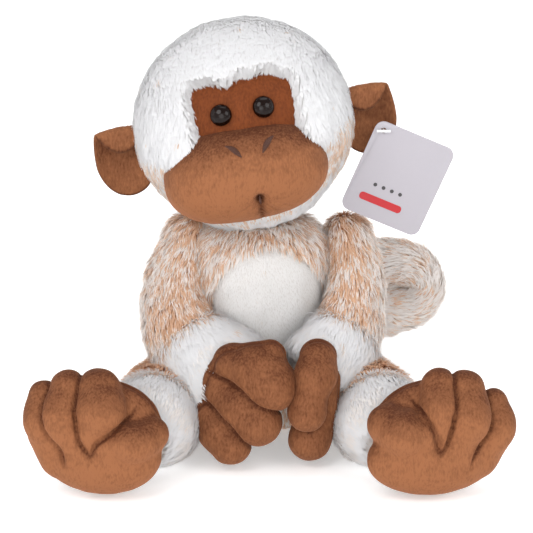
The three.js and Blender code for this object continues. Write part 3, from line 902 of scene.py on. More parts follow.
@dataclass
class Shop:
    """The tree and the materials that every sub-assembly shares."""

    blade: Object
    graph: Graph
    frosted: Plush
    white: Plush
    tummy: Plush
    velboa: bpy.types.Material
    face: bpy.types.Material

    @classmethod
    def opened(cls) -> "Shop":
        """Makes what the sub-assemblies share."""
        blade = pile_blade()
        kinds = (FROSTED_PLUSH, WHITE_PLUSH, TUMMY_PLUSH)
        plushes = [Plush(kind.strands(), kind.backing()) for kind in kinds]
        return cls(blade, pile_graph(blade), *plushes, BROWN_VELBOA.cloth(), FACE_VELBOA.cloth())

    def grown(self, skin: Object, pile: Pile, plush: Plush, seed: int, names: list, amount: Array,
              comb: Array, frost: Array) -> list:
        """Dresses a skin in a long-pile cloth and grows its pile.

        Args:
            skin: The backing.
            pile: How its pile grows.
            plush: Its materials.
            seed: The seed of the points.
            names: The names of the pieces that share its strands.
            amount: The pile's length at each vertex, as a share.
            comb: The direction that the pile is brushed there, of length 1.
            frost: How much of the dyed under-colour shows there.

        Returns:
            The strands, as plain meshes.
        """
        for name, value in (("pile", amount), ("comb", comb), ("frost", frost)):
            set_value(skin, name, value)
        dressed(skin, plush.backing)
        values = {name.capitalize(): value for name, value in vars(pile).items()}
        for name in ("Length", "Width", "Spacing", "Tuft"):
            values[name] *= MM
        values |= {"Seed": seed, "Material": plush.strands, "Parts": float(len(names))}
        return [self.graph.applied(linked(name, skin.data.copy()), values | {"Part": float(part)})
                for part, name in enumerate(names)]


def fit(obj: Object, body: str, nodes: list) -> None:
    """Says what a finished piece rides on and stands for, and reports it.

    Args:
        obj: The piece.
        body: The body that it rides on.
        nodes: The frame's nodes that it stands for.
    """
    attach(obj, body)
    if nodes:
        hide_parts(*nodes)
    LOG.info("%s: %d faces, on %s", obj.name, len(obj.data.polygons), body)


def set_nap(obj: Object, towards: Point, low: float = 0.05, high: float = 0.95) -> Array:
    """Paints light and shade on velboa, where its nap catches the light: pale where it faces a direction and
    dark facing away.

    Args:
        obj: The velboa piece.
        towards: The direction that the painted light comes from, where the cloth is palest.
        low: The value where it faces away.
        high: The value where it faces that way.

    Returns:
        The value at each vertex.
    """
    facing = normals_of(obj) @ unit(np.array(towards, float))
    nap = low + (high - low) * step(facing, -0.75, 0.85)
    set_value(obj, "nap", nap)
    return nap


# ---- Head -----------------------------------------------------------------------------------

MUZZLE_POWER = 2.25  # a little squarer than an ellipsoid
MOUTH_X = 5.2  # the mouth's tuck is sewn a little to the toy's left
FACE_GRID = (52, 60)  # rows and columns of the face's cloth


@dataclass
class Head:
    """The white hood, the face set back in it, the muzzle and the eyes.

    Places are in the head's own frame: x to the toy's left, y back and z up.
    """

    shop: Shop
    window: tuple[float, float, float] = (37.0, -16.0, 44.5)  # half width, lowest, highest
    corner: float = 12.0
    pocket: float = 7.0
    muzzle_at: Point = (-5, -43, -21)
    muzzle_radii: Point = (52.5, 37, 32)
    eye_places: Point = (13.5, 19.2, 7.0)  # to the side, up, radius
    face_depth: float = 4.2

    def __post_init__(self) -> None:
        """Finds the head's own axes."""
        self.matrix = head_matrix()

    def window_distance(self, x: Array, z: Array) -> Array:
        """How far a place lies outside the face's window, negative inside it."""
        half, low, high = self.window
        middle, tall = (low + high) / 2, (high - low) / 2
        top = 1.8 * np.sin(x / 7.0) + 1.2 * np.sin(x / 3.1 + 1)
        dx = np.abs(x - 1.5) - half + self.corner
        dz = np.abs(z - middle) - tall + self.corner - np.where(z > middle, top, 0)
        outside = np.hypot(np.maximum(dx, 0), np.maximum(dz, 0))
        return outside + np.minimum(np.maximum(dx, dz), 0) - self.corner

    def muzzle_share(self, points: Array) -> Array:
        """How far out a place lies in the muzzle, 1 on its skin."""
        reach = np.abs((points - np.array(self.muzzle_at)) / np.array(self.muzzle_radii))
        return (reach**2).sum(1) ** 0.5

    def hood(self) -> None:
        """Makes the hood: one closed skin with a pocket for the face, and its pile."""
        obj = icosphere("hood_skin", 6)
        way = vertices_of(obj) * MM
        points = way * (HEAD_RADII - PILE_DEPTH)
        swell = self.fullness(points)
        points = points + way * swell[:, None]
        front = points[:, 1] < 0
        gap = self.window_distance(points[:, 0], points[:, 2])
        depth = np.where(front, (self.pocket + swell) * step(-gap, -0.6, 2.2), 0)
        under = np.where(front, 5 * step(1.0 - self.muzzle_share(points), 0, 0.12), 0)
        ruffled = 0.8 * bump_noise(points, 9.0) + 0.5 * bump_noise(points, 4.0, 5.0)
        points = points - way * np.maximum(depth, under)[:, None] + way * ruffled[:, None]
        move_vertices(obj, moved_by(points, self.matrix))
        piles = self.shop.grown(obj, HOOD_PILE, self.shop.white, 11, ["hood_pile_1", "hood_pile_2"],
                                *self.pile_values(way, points, gap, front))
        fit(obj, "head", ["head_hood", "head_stuffing"])
        for pile in piles:
            fit(pile, "head", [])

    def fullness(self, points: Array) -> Array:
        """How far the hood stands out of a plain ellipsoid: cheeks over the muzzle's corners."""
        x, y, z = points.T
        swell = 3.2 + 1.4 * step(z, 10, 55)
        ring = np.hypot((x - self.muzzle_at[0]) / 52, (z - self.muzzle_at[2]) / 32)
        low = step(-z, -8, 12) * step(-y, -30, 12) * (1 - 0.75 * step(np.abs(x), 26, 46))
        swell += 3.5 * np.exp(-(((ring - 1.22) / 0.24) ** 2)) * low
        for at_x, at_z, wide, high in ((-41, -3, 13, 8.0), (41, -1, 11, 6.0)):
            near = ((x - at_x) / wide) ** 2 + ((z - at_z) / wide) ** 2
            swell += np.where(y < 0, high * np.exp(-near), 0)
        brow = np.exp(-(((z - 43) / 9) ** 2) - (x / 40) ** 2)
        return swell + np.where(y < 0, 2.5 * brow, 0)

    def pile_values(self, way: Array, points: Array, gap: Array, front: Array) -> tuple[Array, Array, Array]:
        """Works out how the hood's pile grows.

        Args:
            way: The direction out of the head at each vertex.
            points: The vertices in the head's frame.
            gap: How far each lies outside the window.
            front: Which of them are on the front.

        Returns:
            The pile's length as a share, its comb in the frame's axes, and its frost.
        """
        x, y, z = points.T
        muzzle = self.muzzle_share(points)
        hidden = front & ((muzzle < 0.98) | (gap < -2.0))
        near = np.where(front, step(-gap, -9, 0), 0)
        crown = step(z, 10, 55)
        amount = np.where(hidden, 0, 1 - 0.3 * near) * (1 - 0.42 * crown)
        amount *= 1 - 0.35 * np.where(front, step(1.35 - muzzle, 0, 0.3) * step(-z, 0, 30), 0)
        comb = np.stack([0.3 * x / 40, -0.3 - 1.6 * crown, -1 + 0.4 * crown], 1)
        comb = comb + unit(np.stack([-x, 0 * x, 8 - z], 1)) * (0.5 * near)[:, None]
        comb = laid_flat(comb, way) @ np.array(self.matrix)[:3, :3].T
        jaw = step(-z, 6, 26) * step(np.where(front, 1.5 - muzzle, 0), 0.1, 0.4)
        sides = step(np.abs(x), 44, 56) * step(-z, -6, 14) * np.where(front, 1, 0.3)
        return amount, comb, np.clip(0.75 * jaw + 1.0 * sides, 0, 1)

    def face(self) -> None:
        """Makes the velboa face at the back of the window."""
        half, low, high = self.window
        rows, columns = FACE_GRID
        across, upwards = np.linspace(-half - 1, half + 4, columns), np.linspace(low - 4, high + 4, rows)
        x, z = (values.ravel() for values in np.meshgrid(across, upwards))
        radii = HEAD_RADII - self.face_depth
        y = -radii[1] * np.sqrt(np.maximum(1 - (x / radii[0]) ** 2 - (z / radii[2]) ** 2, 0.02))
        side, up, _ = self.eye_places
        for sign in (-1, 1):
            y += 1.6 * np.exp(-((x - sign * side) ** 2 + (z - up) ** 2) / 60)
        y -= 1.2 * np.exp(-((x / 7) ** 2) - ((z - up - 6) / 12) ** 2)
        points = np.stack([x, y + 0.25 * bump_noise(np.stack([x, y, z], 1), 6.0), z], 1)
        obj = mesh_object("face_cloth", points, grid_faces(rows, columns), self.matrix, closed=False)
        thickened(obj, 1.2)
        baked(obj)
        # Painted light: the face cloth is paler where it faces up, forwards and to the toy's left.
        set_nap(obj, (0.35, -0.6, 0.5), 0.1, 0.85)
        dressed(obj, self.shop.face)
        fit(obj, "head", ["face_panel"])

    def muzzle_skin(self, way: Array) -> tuple[Array, Array]:
        """Turns directions into the muzzle's skin, in its own frame.

        Args:
            way: The directions.

        Returns:
            The points of the skin, and how far each is tucked in.
        """
        reach = (np.abs(way) ** MUZZLE_POWER).sum(1) ** (-1 / MUZZLE_POWER)
        points = way * reach[:, None] * np.array(self.muzzle_radii)
        px, py, pz = points.T
        front = step(-py, 4, 22)
        jowl = 2.2 * np.exp(-(((pz + 11) / 12) ** 2)) * step(np.abs(px), 14, 40)
        points[:, 0] += np.sign(px) * jowl * 0.6
        points[:, 2] -= 1.2 * step(np.abs(px), 10, 36) * step(-pz, 0, 24)
        top, bottom = -10.0, -33.0
        within = step(-pz, -top - 3, -top + 2) * step(pz, bottom - 4, bottom + 6)
        tuck = 5.2 * np.exp(-np.abs((px - MOUTH_X) / 2.6) ** 1.3) * within
        hollow = 2.4 * np.exp(-(((px - MOUTH_X) / 10) ** 2) - ((pz + 20) / 10) ** 2)
        pit = 4.0 * np.exp(-((px - MOUTH_X) ** 2 + (pz + 11) ** 2) / 6)
        folds = np.zeros(len(px))
        for lean in (-0.8, 0.8, -1.9, 1.9):
            line = px - MOUTH_X - lean * (-pz - 12)
            below = step(-pz, 12, 15) * step(pz, -28, -20)
            folds += 0.6 * np.exp(-((line / 1.5) ** 2)) * below
        depth = (tuck + pit + folds) * front
        points[:, 1] += depth + hollow * front
        return points, depth

    def muzzle(self) -> None:
        """Makes the muzzle, with its stitched tuck."""
        obj = icosphere("muzzle_skin", 6)
        way = unit(vertices_of(obj))
        points, depth = self.muzzle_skin(way)
        points += way * (0.35 * bump_noise(points, 7.0, 2.0))[:, None]
        move_vertices(obj, moved_by(points + np.array(self.muzzle_at), self.matrix))
        # Painted light: the muzzle is paler where it faces down and forwards; painted shade darkens its tuck,
        # pit and folds.
        nap = set_nap(obj, (0.1, -0.72, -0.75), 0.02, 0.98)
        set_value(obj, "nap", np.clip(nap - 0.16 * depth, 0, 1))
        dressed(obj, self.shop.velboa)
        fit(obj, "head", ["muzzle_cover", "muzzle_stuffing"])

    def on_muzzle(self, x: float, z: float) -> Array:
        """The front of the muzzle at a place across and up from its middle."""
        a, b, c = self.muzzle_radii
        left = max(1 - (abs(x) / a) ** MUZZLE_POWER - (abs(z) / c) ** MUZZLE_POWER, 0)
        return np.array([x, -b * left ** (1 / MUZZLE_POWER), z]) + np.array(self.muzzle_at)

    def stitches(self) -> None:
        """Sews the nostrils and the mouth: short threads laid side by side across a line."""
        thread = THREAD.material()
        for side in Side:
            sign = side.value
            line = [self.on_muzzle(5.6 + 11.2 * sign + 4.2 * at, 20.5 + 3.4 * sign * at + 1.3 * (1 - at * at))
                    for at in np.linspace(-1, 1, 15)]
            obj = self.satin(f"nostril_satin_{side.word}", np.array(line), 2.1, 0.42, thread)
            fit(obj, "head", [f"nostril_stitch_{side.word}"])
        line = [self.on_muzzle(MOUTH_X, z) + np.array([0, 4.6, 0]) for z in np.linspace(-10, -17, 6)]
        obj = self.satin("mouth_satin", np.array(line), 0.9, 0.4, thread)
        fit(obj, "head", ["mouth_stitch"])

    def satin(self, name: str, line: Array, length: float, thick: float,
              thread: bpy.types.Material) -> Object:
        """Threads laid side by side across a line on the muzzle, grown by a small tree.

        Args:
            name: The piece's name.
            line: The line's points, in the head's frame.
            length: Half the length of the longest thread, in millimetres.
            thick: The radius of each thread.
            thread: The thread's material.

        Returns:
            The stitches.
        """
        mesh = bpy.data.meshes.new(name)
        edges = [(i, i + 1) for i in range(len(line) - 1)]
        mesh.from_pydata((moved_by(line, self.matrix) * MM).tolist(), edges, [])
        g = Graph("satin_stitch", ("Reach", "Thread", "Step"))
        given = g.given
        curve = g.put("GeometryNodeMeshToCurve", Mesh=given["Ground"])
        even = g.put("GeometryNodeResampleCurve", {"mode": "LENGTH"}, Curve=curve, Length=given["Step"])
        outward = tuple(self.matrix.to_3x3() @ Vector((0, -0.86, 0.5)))
        across = g.vector("CROSS_PRODUCT", g.put("GeometryNodeInputTangent"), outward)
        ball = g.put("GeometryNodeMeshUVSphere", Segments=8, Rings=6, Radius=1.0)
        leaf = g.math("SINE", g.math("MULTIPLY", g.put("GeometryNodeSplineParameter"), math.pi))
        reach = g.math("MULTIPLY", given["Reach"], g.math("MULTIPLY_ADD", leaf, 0.75, 0.25))
        size = g.put("ShaderNodeCombineXYZ", X=given["Thread"], Y=given["Thread"], Z=reach)
        copies = g.put("GeometryNodeInstanceOnPoints", Points=even, Instance=ball,
                       Rotation=g.turned(across, outward), Scale=size)
        real = g.put("GeometryNodeRealizeInstances", Geometry=copies)
        g.end(g.put("GeometryNodeSetShadeSmooth", Geometry=real))
        return g.applied(linked(name, mesh), {"Reach": length * MM, "Thread": thick * MM,
                                              "Step": 1.45 * thick * MM, "Material": thread})

    def eyes(self) -> None:
        """Makes the two domed safety eyes."""
        glossy = SAFETY_EYE.material()
        side_x, up, radius = self.eye_places
        radii = HEAD_RADII - self.face_depth
        profile = [(0.0, -4.0), (1.8, -4.0), (1.8, -0.2), (radius - 1.2, -0.2), (radius - 0.3, 0.3),
                   (radius, 1.1)]
        for angle in np.radians(np.linspace(8, 90, 14)):
            profile.append((radius * math.cos(angle) if angle < 1.57 else 0.0, 1.2 + 4.9 * math.sin(angle)))
        for side in Side:
            x, z = side.value * side_x, up
            y = -radii[1] * math.sqrt(1 - (x / radii[0]) ** 2 - (z / radii[2]) ** 2) + 1.2
            outward = unit(np.array([x / radii[0] ** 2, y / radii[1] ** 2, z / radii[2] ** 2]))
            obj = turned(f"eye_dome_{side.word}", profile, 48)
            facing = Vector(outward).to_track_quat("Z", "Y").to_matrix().to_4x4()
            points = vertices_of(obj) @ np.array(facing)[:3, :3].T + np.array([x, y, z])
            move_vertices(obj, moved_by(points, self.matrix))
            outwards(obj)
            dressed(obj, glossy)
            fit(obj, "head", [f"eye_{side.word}"])

    def build(self) -> None:
        """Builds the head."""
        self.hood()
        self.face()
        self.muzzle()
        self.stitches()
        self.eyes()


def turned(name: str, profile: list, sides: int) -> Object:
    """Turns a profile about Z.

    Args:
        name: The object's name.
        profile: Radius and height pairs, from axis to axis.
        sides: How many steps go round.

    Returns:
        A closed object.
    """
    angles = [2 * math.pi * i / sides for i in range(sides)]
    points = [(0, 0, profile[0][1])]
    points += [(radius * math.cos(a), radius * math.sin(a), height)
               for radius, height in profile[1:-1] for a in angles]
    points.append((0, 0, profile[-1][1]))
    return mesh_object(name, np.array(points, float), capped_faces(len(profile) - 2, sides))


# ---- Ears -----------------------------------------------------------------------------------


@dataclass
class Ear:
    """A velboa ear: a flat pocket cupped forwards, its top folded down over its front."""

    shop: Shop
    side: Side
    centre: Point = (82, 8, -14)
    half_width: float = 20.0
    half_height: float = 25.0
    fold_at: float = 18.0
    fold_radius: float = 3.2
    cup: float = 6.0
    flap: float = 13.0
    half_depth: float = 1.6
    raised: float = 3.5  # the right ear is sewn on a little higher

    def bend(self, points: Array) -> Array:
        """Cups the flat ear and folds its top over.

        Args:
            points: x out from the head, y back and z up, about the ear's middle.

        Returns:
            The bent points.
        """
        x, y, z = points.T.copy()
        over = z - self.fold_at
        arc = self.fold_radius * math.pi * 0.92
        angle = np.clip(over / self.fold_radius, 0, arc / self.fold_radius)
        past = np.maximum(over - arc, 0)
        radius = self.fold_radius + y
        new_z = np.where(over > 0, self.fold_at + radius * np.sin(angle) + past * np.cos(angle), z)
        new_y = np.where(over > 0, -self.fold_radius + radius * np.cos(angle) - past * np.sin(angle), y)
        reach = (x / self.half_width) ** 2 + (np.minimum(z, self.fold_at) / self.half_height) ** 2
        new_y = new_y - self.cup * np.clip(reach, 0, 1.1)
        return np.stack([x, new_y, new_z], 1)

    def build(self) -> None:
        """Builds the ear as one pocket: front and back cloths sewn at the rim."""
        around, steps = 64, 16
        points, faces = [], []
        tall = self.fold_at + self.fold_radius * 2.9 + self.flap
        for depth in (-self.half_depth, self.half_depth):
            for ring in range(steps + 1):
                share = ring / steps
                full = math.sqrt(max(0.0, 1 - share**3))
                for i in range(around):
                    angle = 2 * math.pi * i / around
                    z = math.sin(angle) * (tall if math.sin(angle) > 0 else self.half_height)
                    x = math.cos(angle) * self.half_width
                    points.append((x * share, depth * full, z * share))
        rim, size = steps * around, (steps + 1) * around
        for sheet in (0, 1):
            for ring in range(steps):
                for i in range(around):
                    j = (i + 1) % around
                    a, b = sheet * size + ring * around, sheet * size + (ring + 1) * around
                    quad = [a + i, b + i, b + j, a + j]
                    faces.append(quad if sheet == 0 else quad[::-1])
        for i in range(around):
            j = (i + 1) % around
            faces.append([rim + i, size + rim + i, size + rim + j, rim + j])
        bent = self.bend(np.array(points))
        bent[:, 0] = bent[:, 0] * self.side.value
        cx, cy, cz = self.centre
        cz += self.raised if self.side is Side.RIGHT else 0.0
        bent = bent + np.array([self.side.value * (cx - 1), cy, cz])
        obj = outwards(mesh_object(f"ear_{self.side.word}", bent, faces, head_matrix()))
        start = vertices_of(obj)
        move_vertices(obj, start + normals_of(obj) * 0.3 * bump_noise(start, 6.0)[:, None])
        # Painted light: the ear is paler where it faces up, a little out and forwards.
        set_nap(obj, (0.2 * self.side.value, -0.3, 0.9), 0.0, 0.75)
        dressed(obj, self.shop.velboa)
        fit(obj, f"ear_{self.side.word}",
            [f"ear_lining_{self.side.word}", f"ear_back_{self.side.word}"])


# ---- Body -----------------------------------------------------------------------------------


@dataclass
class Torso:
    """The pear-shaped body: frosted plush with a short-pile patch on its front.

    Attributes:
        levels: Its height, half width, half depth and lean forwards, in millimetres.
        tummy_at: The patch's middle across and up.
        tummy_size: Half the patch's width and height.
    """

    shop: Shop
    levels: tuple = (
        (0, 38, 38, 2), (3, 44, 44, 2), (12, 48, 49, 2), (28, 50, 52, 2), (48, 49, 53, 4),
        (72, 48, 52, 5), (96, 48, 50, 5), (116, 47, 45, 6), (130, 42, 38, 7), (140, 31, 28, 5),
    )
    tummy_at: tuple[float, float] = (-1.5, 86)
    tummy_size: tuple[float, float] = (38, 45)

    def __post_init__(self) -> None:
        """Finds the torso's axis from the frame's box of its cover."""
        low, high = (np.array(v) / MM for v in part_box("torso_cover"))
        self.centre = (low + high)[:2] / 2 + np.array([0, 2.5])

    def skin(self, heights: Array, angles: Array, out: float) -> Array:
        """Points of the torso's skin, ring by ring.

        Args:
            heights: The rings' heights above the seat.
            angles: Angles about the axis, from the toy's left round to its back.
            out: How far outside the backing they lie.

        Returns:
            The points, in frame millimetres.
        """
        height, angle = (values.ravel() for values in np.meshgrid(heights, angles, indexing="ij"))
        table = np.array(self.levels, float)
        fine = np.linspace(table[0, 0], table[-1, 0], 200)
        rounded = smooth_path(table[:, :3], 400)
        wide = np.interp(height, rounded[:, 0], rounded[:, 1]) - PILE_DEPTH + out
        deep = np.interp(height, rounded[:, 0], rounded[:, 2]) - PILE_DEPTH + out
        forward = np.interp(height, fine, np.interp(fine, table[:, 0], table[:, 3]))
        x = self.centre[0] + wide * np.cos(angle)
        y = self.centre[1] - forward + deep * np.sin(angle)
        return np.stack([x, y, height], 1)

    def build(self) -> None:
        """Builds the torso, its tummy patch and its neck ring."""
        rings, sides = 60, 96
        angles = np.arange(sides) * 2 * math.pi / sides
        x, y = self.centre
        points = np.vstack([[[x, y - 2, 0.6]], self.skin(np.linspace(0.6, 139.5, rings), angles, 0.0),
                            [[x, y - 3, 142.0]]])
        obj = mesh_object("torso_skin", points, capped_faces(rings, sides))
        normals = normals_of(obj)
        z = points[:, 2]
        inside = self.tummy_share(points)
        lumps = 0.9 * bump_noise(points, 10.0, 1.0) + 0.5 * bump_noise(points, 4.5, 3.0)
        lumps = lumps * step(z, 2, 14) - 1.5 * step(1 - inside, -0.05, 0.05)
        move_vertices(obj, points + normals * lumps[:, None])
        high = step(z, 84, 100)[:, None]
        comb = np.array([0, -0.15, -1]) * (1 - 0.2 * high)
        comb = comb + unit(points - np.array([x, y, 110])) * 0.35 * high
        amount = np.where(inside < 1.0, 0, 1) * (0.35 + 0.65 * step(z, 3, 20))
        piles = self.shop.grown(obj, FROST_PILE, self.shop.frosted, 21, ["torso_pile_1", "torso_pile_2"],
                                amount, laid_flat(comb, normals), 0.62 + 0 * z)
        fit(obj, "torso", ["torso_cover", "torso_stuffing", "seat_pellet_pouch"])
        for pile in piles:
            fit(pile, "torso", [])
        self.tummy()
        self.neck_ring()

    def tummy_share(self, points: Array) -> Array:
        """How far out a place lies in the tummy's patch, 1 at its seam, and 9 on the back."""
        x, y, z = points.T
        share = np.hypot((x - self.tummy_at[0]) / self.tummy_size[0],
                         (z - self.tummy_at[1]) / self.tummy_size[1])
        return np.where(y < self.centre[1], share, 9.0)

    def tummy(self) -> None:
        """Makes the short-pile patch sewn into the front."""
        columns, rows = 72, 84
        angles = np.linspace(-math.pi / 2 - 1.1, -math.pi / 2 + 1.3, columns)
        heights = np.linspace(self.tummy_at[1] - 48, self.tummy_at[1] + 48, rows)
        points = self.skin(heights, angles, 1.4)
        share = self.tummy_share(points)
        keep = share < 1.06
        number = np.cumsum(keep) - 1
        faces = [[int(number[i]) for i in quad] for quad in grid_faces(rows, columns) if keep[quad].all()]
        points, share = points[keep], share[keep]
        obj = mesh_object("tummy_cloth", points, faces, closed=False)
        sunk = -2.2 * step(share, 0.86, 1.04) + 0.6 * bump_noise(points, 12.0, 4.0)
        move_vertices(obj, points + normals_of(obj) * sunk[:, None])
        [pile] = self.shop.grown(obj, TUMMY_PILE, self.shop.tummy, 31, ["tummy_pile"],
                                 np.where(share < 1.03, 1.0, 0.0),
                                 unit(np.array([0.15, 0, -1.0]) + 0 * points), 0 * share)
        thickened(obj, 1.4)
        baked(obj)
        fit(obj, "torso", ["tummy_panel"])
        fit(pile, "torso", [])

    def neck_ring(self) -> None:
        """Makes the gathered ring between the torso and the head."""
        at = pivot("neck_turn")
        sides, tube = 96, 16
        points = []
        for i in range(sides):
            angle = 2 * math.pi * i / sides
            for k in range(tube):
                turn = 2 * math.pi * k / tube
                out = 18.5 + 0.7 * math.sin(9 * angle) + 3.2 * math.cos(turn)
                points.append(at + np.array([out * math.cos(angle), out * math.sin(angle),
                                             5.2 * math.sin(turn)]))
        faces = [[quad[i] for i in (0, 3, 2, 1)] for quad in looped_faces(sides, tube)]
        obj = outwards(mesh_object("neck_roll", np.array(points), faces))
        normals = normals_of(obj)
        even = 0 * normals[:, 0]
        [pile] = self.shop.grown(obj, FROST_PILE, self.shop.frosted, 41, ["neck_pile"], 0.6 + even,
                                 laid_flat(np.array([0, 0, -1.0]), normals), 0.5 + even)
        fit(obj, "neck", ["neck_band"])
        fit(pile, "neck", [])


# ---- Limbs ----------------------------------------------------------------------------------

LOWEST = 0.8  # how far over the floor the backing stays


@dataclass
class Sleeve:
    """A tube of frosted plush, white past a share of its length."""

    shop: Shop
    name: str
    path: list
    radii: list
    bodies: tuple
    nodes: list
    seed: int
    white_from: float = 2.0
    frost: float = 0.7
    across: Point = (1, 0, 0)
    flat: float = 1.0
    bend_at: Point | None = None
    blunt: tuple[float, float] = (1.0, 0.5)

    def build(self) -> None:
        """Builds the sleeve's skin and pile."""
        tube = Tube(self.path, self.radii, self.flat, self.across, PILE_DEPTH, self.blunt, 48, 64)
        points, faces, along, lie = tube.skin()
        obj = mesh_object(f"{self.name}_skin", points, faces)
        normals = normals_of(obj)
        cuff = step(along, self.white_from - 0.06, self.white_from + 0.06)
        lumps = 0.9 * bump_noise(points, 10.0, self.seed) + 0.4 * bump_noise(points, 4.5, 2 + self.seed)
        lumps = np.where(points[:, 2] + normals[:, 2] * lumps < 1.0, 0, lumps)
        moved = points + normals * lumps[:, None]
        moved[:, 2] = np.maximum(moved[:, 2], LOWEST)
        move_vertices(obj, moved)
        band = 0.5 + 0.5 * bump_noise(points, 26.0, 3 + self.seed)
        front = 0.4 + 0.9 * step(np.maximum(-normals[:, 1], 0.9 * normals[:, 2]), 0.1, 0.9)
        piles = self.shop.grown(
            obj, FROST_PILE, self.shop.frosted, self.seed, [f"{self.name}_pile"],
            amount=0.3 + 0.7 * step(moved[:, 2], 2, 12),
            comb=laid_flat(lie + np.array([0, 0, -0.25]), normals),
            frost=self.frost * front * (0.65 + 0.5 * band) * (1 - cuff),
        )
        for piece in (obj, *piles):
            self.attach(piece)
        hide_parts(*self.nodes)

    def attach(self, piece: Object) -> None:
        """Rides on one body, or, where it has a joint, has its place applied to its mesh and rides on no
        body.
        """
        if self.bend_at is None:
            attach(piece, self.bodies[0])
        else:
            line, middle = smooth_path(np.array(self.path, float)), np.array(self.bend_at)
            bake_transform(piece)
        LOG.info("%s: %d faces, on %s", piece.name, len(piece.data.polygons), self.bodies)


@dataclass
class Cuff:
    """A ring of long white pile round the end of a sleeve.

    Attributes:
        share: The shares of the sleeve's length that it runs between.
        length: Its pile's length, as a share.
        closes: How far its far end closes, as a share of its radius.
    """

    shop: Shop
    name: str
    path: list
    radii: list
    share: tuple[float, float]
    body: str
    node: str
    seed: int
    length: float = 1.0
    across: Point = (1, 0, 0)
    flat: float = 1.0
    closes: float = 0.0

    def build(self) -> None:
        """Builds the cuff's closed roll and its pile."""
        spine = Spine(self.path, self.across)
        even = np.linspace(0, 1, len(self.radii))
        rings, sides = 18, 48
        points, lie = [], []
        low, high = self.share
        for k in range(2 * rings):
            inside = k >= rings
            step_k = (k if not inside else 2 * rings - 1 - k) / (rings - 1)
            share = low + (high - low) * step_k
            at = np.clip(share, 0, 1)
            centre, tangent, side, up = spine.at(at, (share - at) * spine.length)
            radius = float(np.interp(at, even, self.radii))
            crown = math.sqrt(max(0.0, 1 - (2 * step_k - 1) ** 4))
            radius += (-PILE_DEPTH - 1.2) if inside else (-PILE_DEPTH + 0.3 + 2.0 * crown)
            radius *= 1 - self.closes * float(step(np.array(step_k), 0.45, 1.0))
            for i in range(sides):
                angle = 2 * math.pi * i / sides
                points.append(centre + radius * (math.cos(angle) * side + self.flat * math.sin(angle) * up))
                lie.append(tangent)
        points, lie = np.array(points), np.array(lie)
        points[:, 2] = np.maximum(points[:, 2], LOWEST)
        obj = outwards(mesh_object(self.name, points, looped_faces(2 * rings, sides)))
        outer = np.where(np.arange(len(points)) < rings * sides, 1.0, 0.0)
        amount = outer * (0.15 + 0.85 * step(points[:, 2], 2, 14))
        comb = laid_flat(lie + np.array([0, 0, -0.3]), normals_of(obj))
        [pile] = self.shop.grown(obj, CUFF_PILE, self.shop.white, self.seed, [f"{self.name}_pile"],
                                 amount * self.length, comb, 0 * amount)
        fit(obj, self.body, [self.node])
        fit(pile, self.body, [])


ARM_PATHS = {
    Side.RIGHT: [[3, 2, 2], [-4, -12, -18], [-5, -28, -35], [1, -44, -50], [13, -56, -62], [27, -66, -71]],
    Side.LEFT: [[-1, 2, 2], [3, -11, -18], [2, -27, -34], [-3, -43, -48], [-11, -56, -59], [-20, -67, -67]],
}
ARM_RADII = {Side.RIGHT: [20, 22.5, 23.5, 26, 30.5, 35], Side.LEFT: [19, 21.5, 22.5, 24, 26.5, 29]}
ARM_ACROSS = {Side.RIGHT: (0.62, 0, 0.78), Side.LEFT: (-0.52, 0, 0.85)}
LEG_PATH = [[-4, 4, 4], [5, -19, 8], [12, -43, 8], [16, -61, 6]]
LEG_RADII = [22, 29, 30, 30]
ARM_SEED, LEG_SEED, CUFF_SEED = 51, 81, 10


def placed_path(path: list, origin: Array, sign: int = 1) -> list:
    """A path moved to an origin, with its x turned over where sign is -1."""
    return [[origin[0] + sign * x, origin[1] + y, origin[2] + z] for x, y, z in path]


@dataclass
class Arm:
    """One arm: its sleeve and its cuff."""

    shop: Shop
    side: Side

    def build(self) -> None:
        """Builds the arm."""
        word = self.side.word
        path = placed_path(ARM_PATHS[self.side], pivot(f"shoulder_{word}"))
        nodes = [f"upper_sleeve_{word}", f"upper_arm_stuffing_{word}", f"forearm_sleeve_{word}",
                 f"forearm_stuffing_{word}"]
        seed = ARM_SEED + self.side.value
        radii, across = ARM_RADII[self.side], ARM_ACROSS[self.side]
        Sleeve(self.shop, f"arm_{word}", path, radii, (f"upper_arm_{word}", f"forearm_{word}"),
               nodes, seed, white_from=0.72, frost=0.85, across=across, flat=0.72,
               bend_at=tuple(pivot(f"elbow_{word}")), blunt=(1.0, 0.3)).build()
        Cuff(self.shop, f"wrist_fluff_{word}", path, radii, (0.69, 1.04), f"forearm_{word}",
             f"wrist_cuff_{word}", seed + CUFF_SEED, across=across, flat=0.72).build()


@dataclass
class Leg:
    """One leg: its sleeve and its cuff."""

    shop: Shop
    side: Side

    def build(self) -> None:
        """Builds the leg."""
        word = self.side.word
        path = placed_path(LEG_PATH, pivot(f"hip_{word}"), self.side.value)
        seed = LEG_SEED + self.side.value
        Sleeve(self.shop, f"leg_{word}", path, LEG_RADII, (f"leg_{word}",),
               [f"leg_sleeve_{word}", f"leg_stuffing_{word}"], seed, white_from=0.8,
               frost=1.0, blunt=(1.0, 0.75)).build()
        Cuff(self.shop, f"ankle_fluff_{word}", path, LEG_RADII, (0.78, 1.3), f"leg_{word}",
             f"ankle_cuff_{word}", seed + CUFF_SEED, 0.75, closes=0.3).build()


CREASE_DEPTH = 2.4


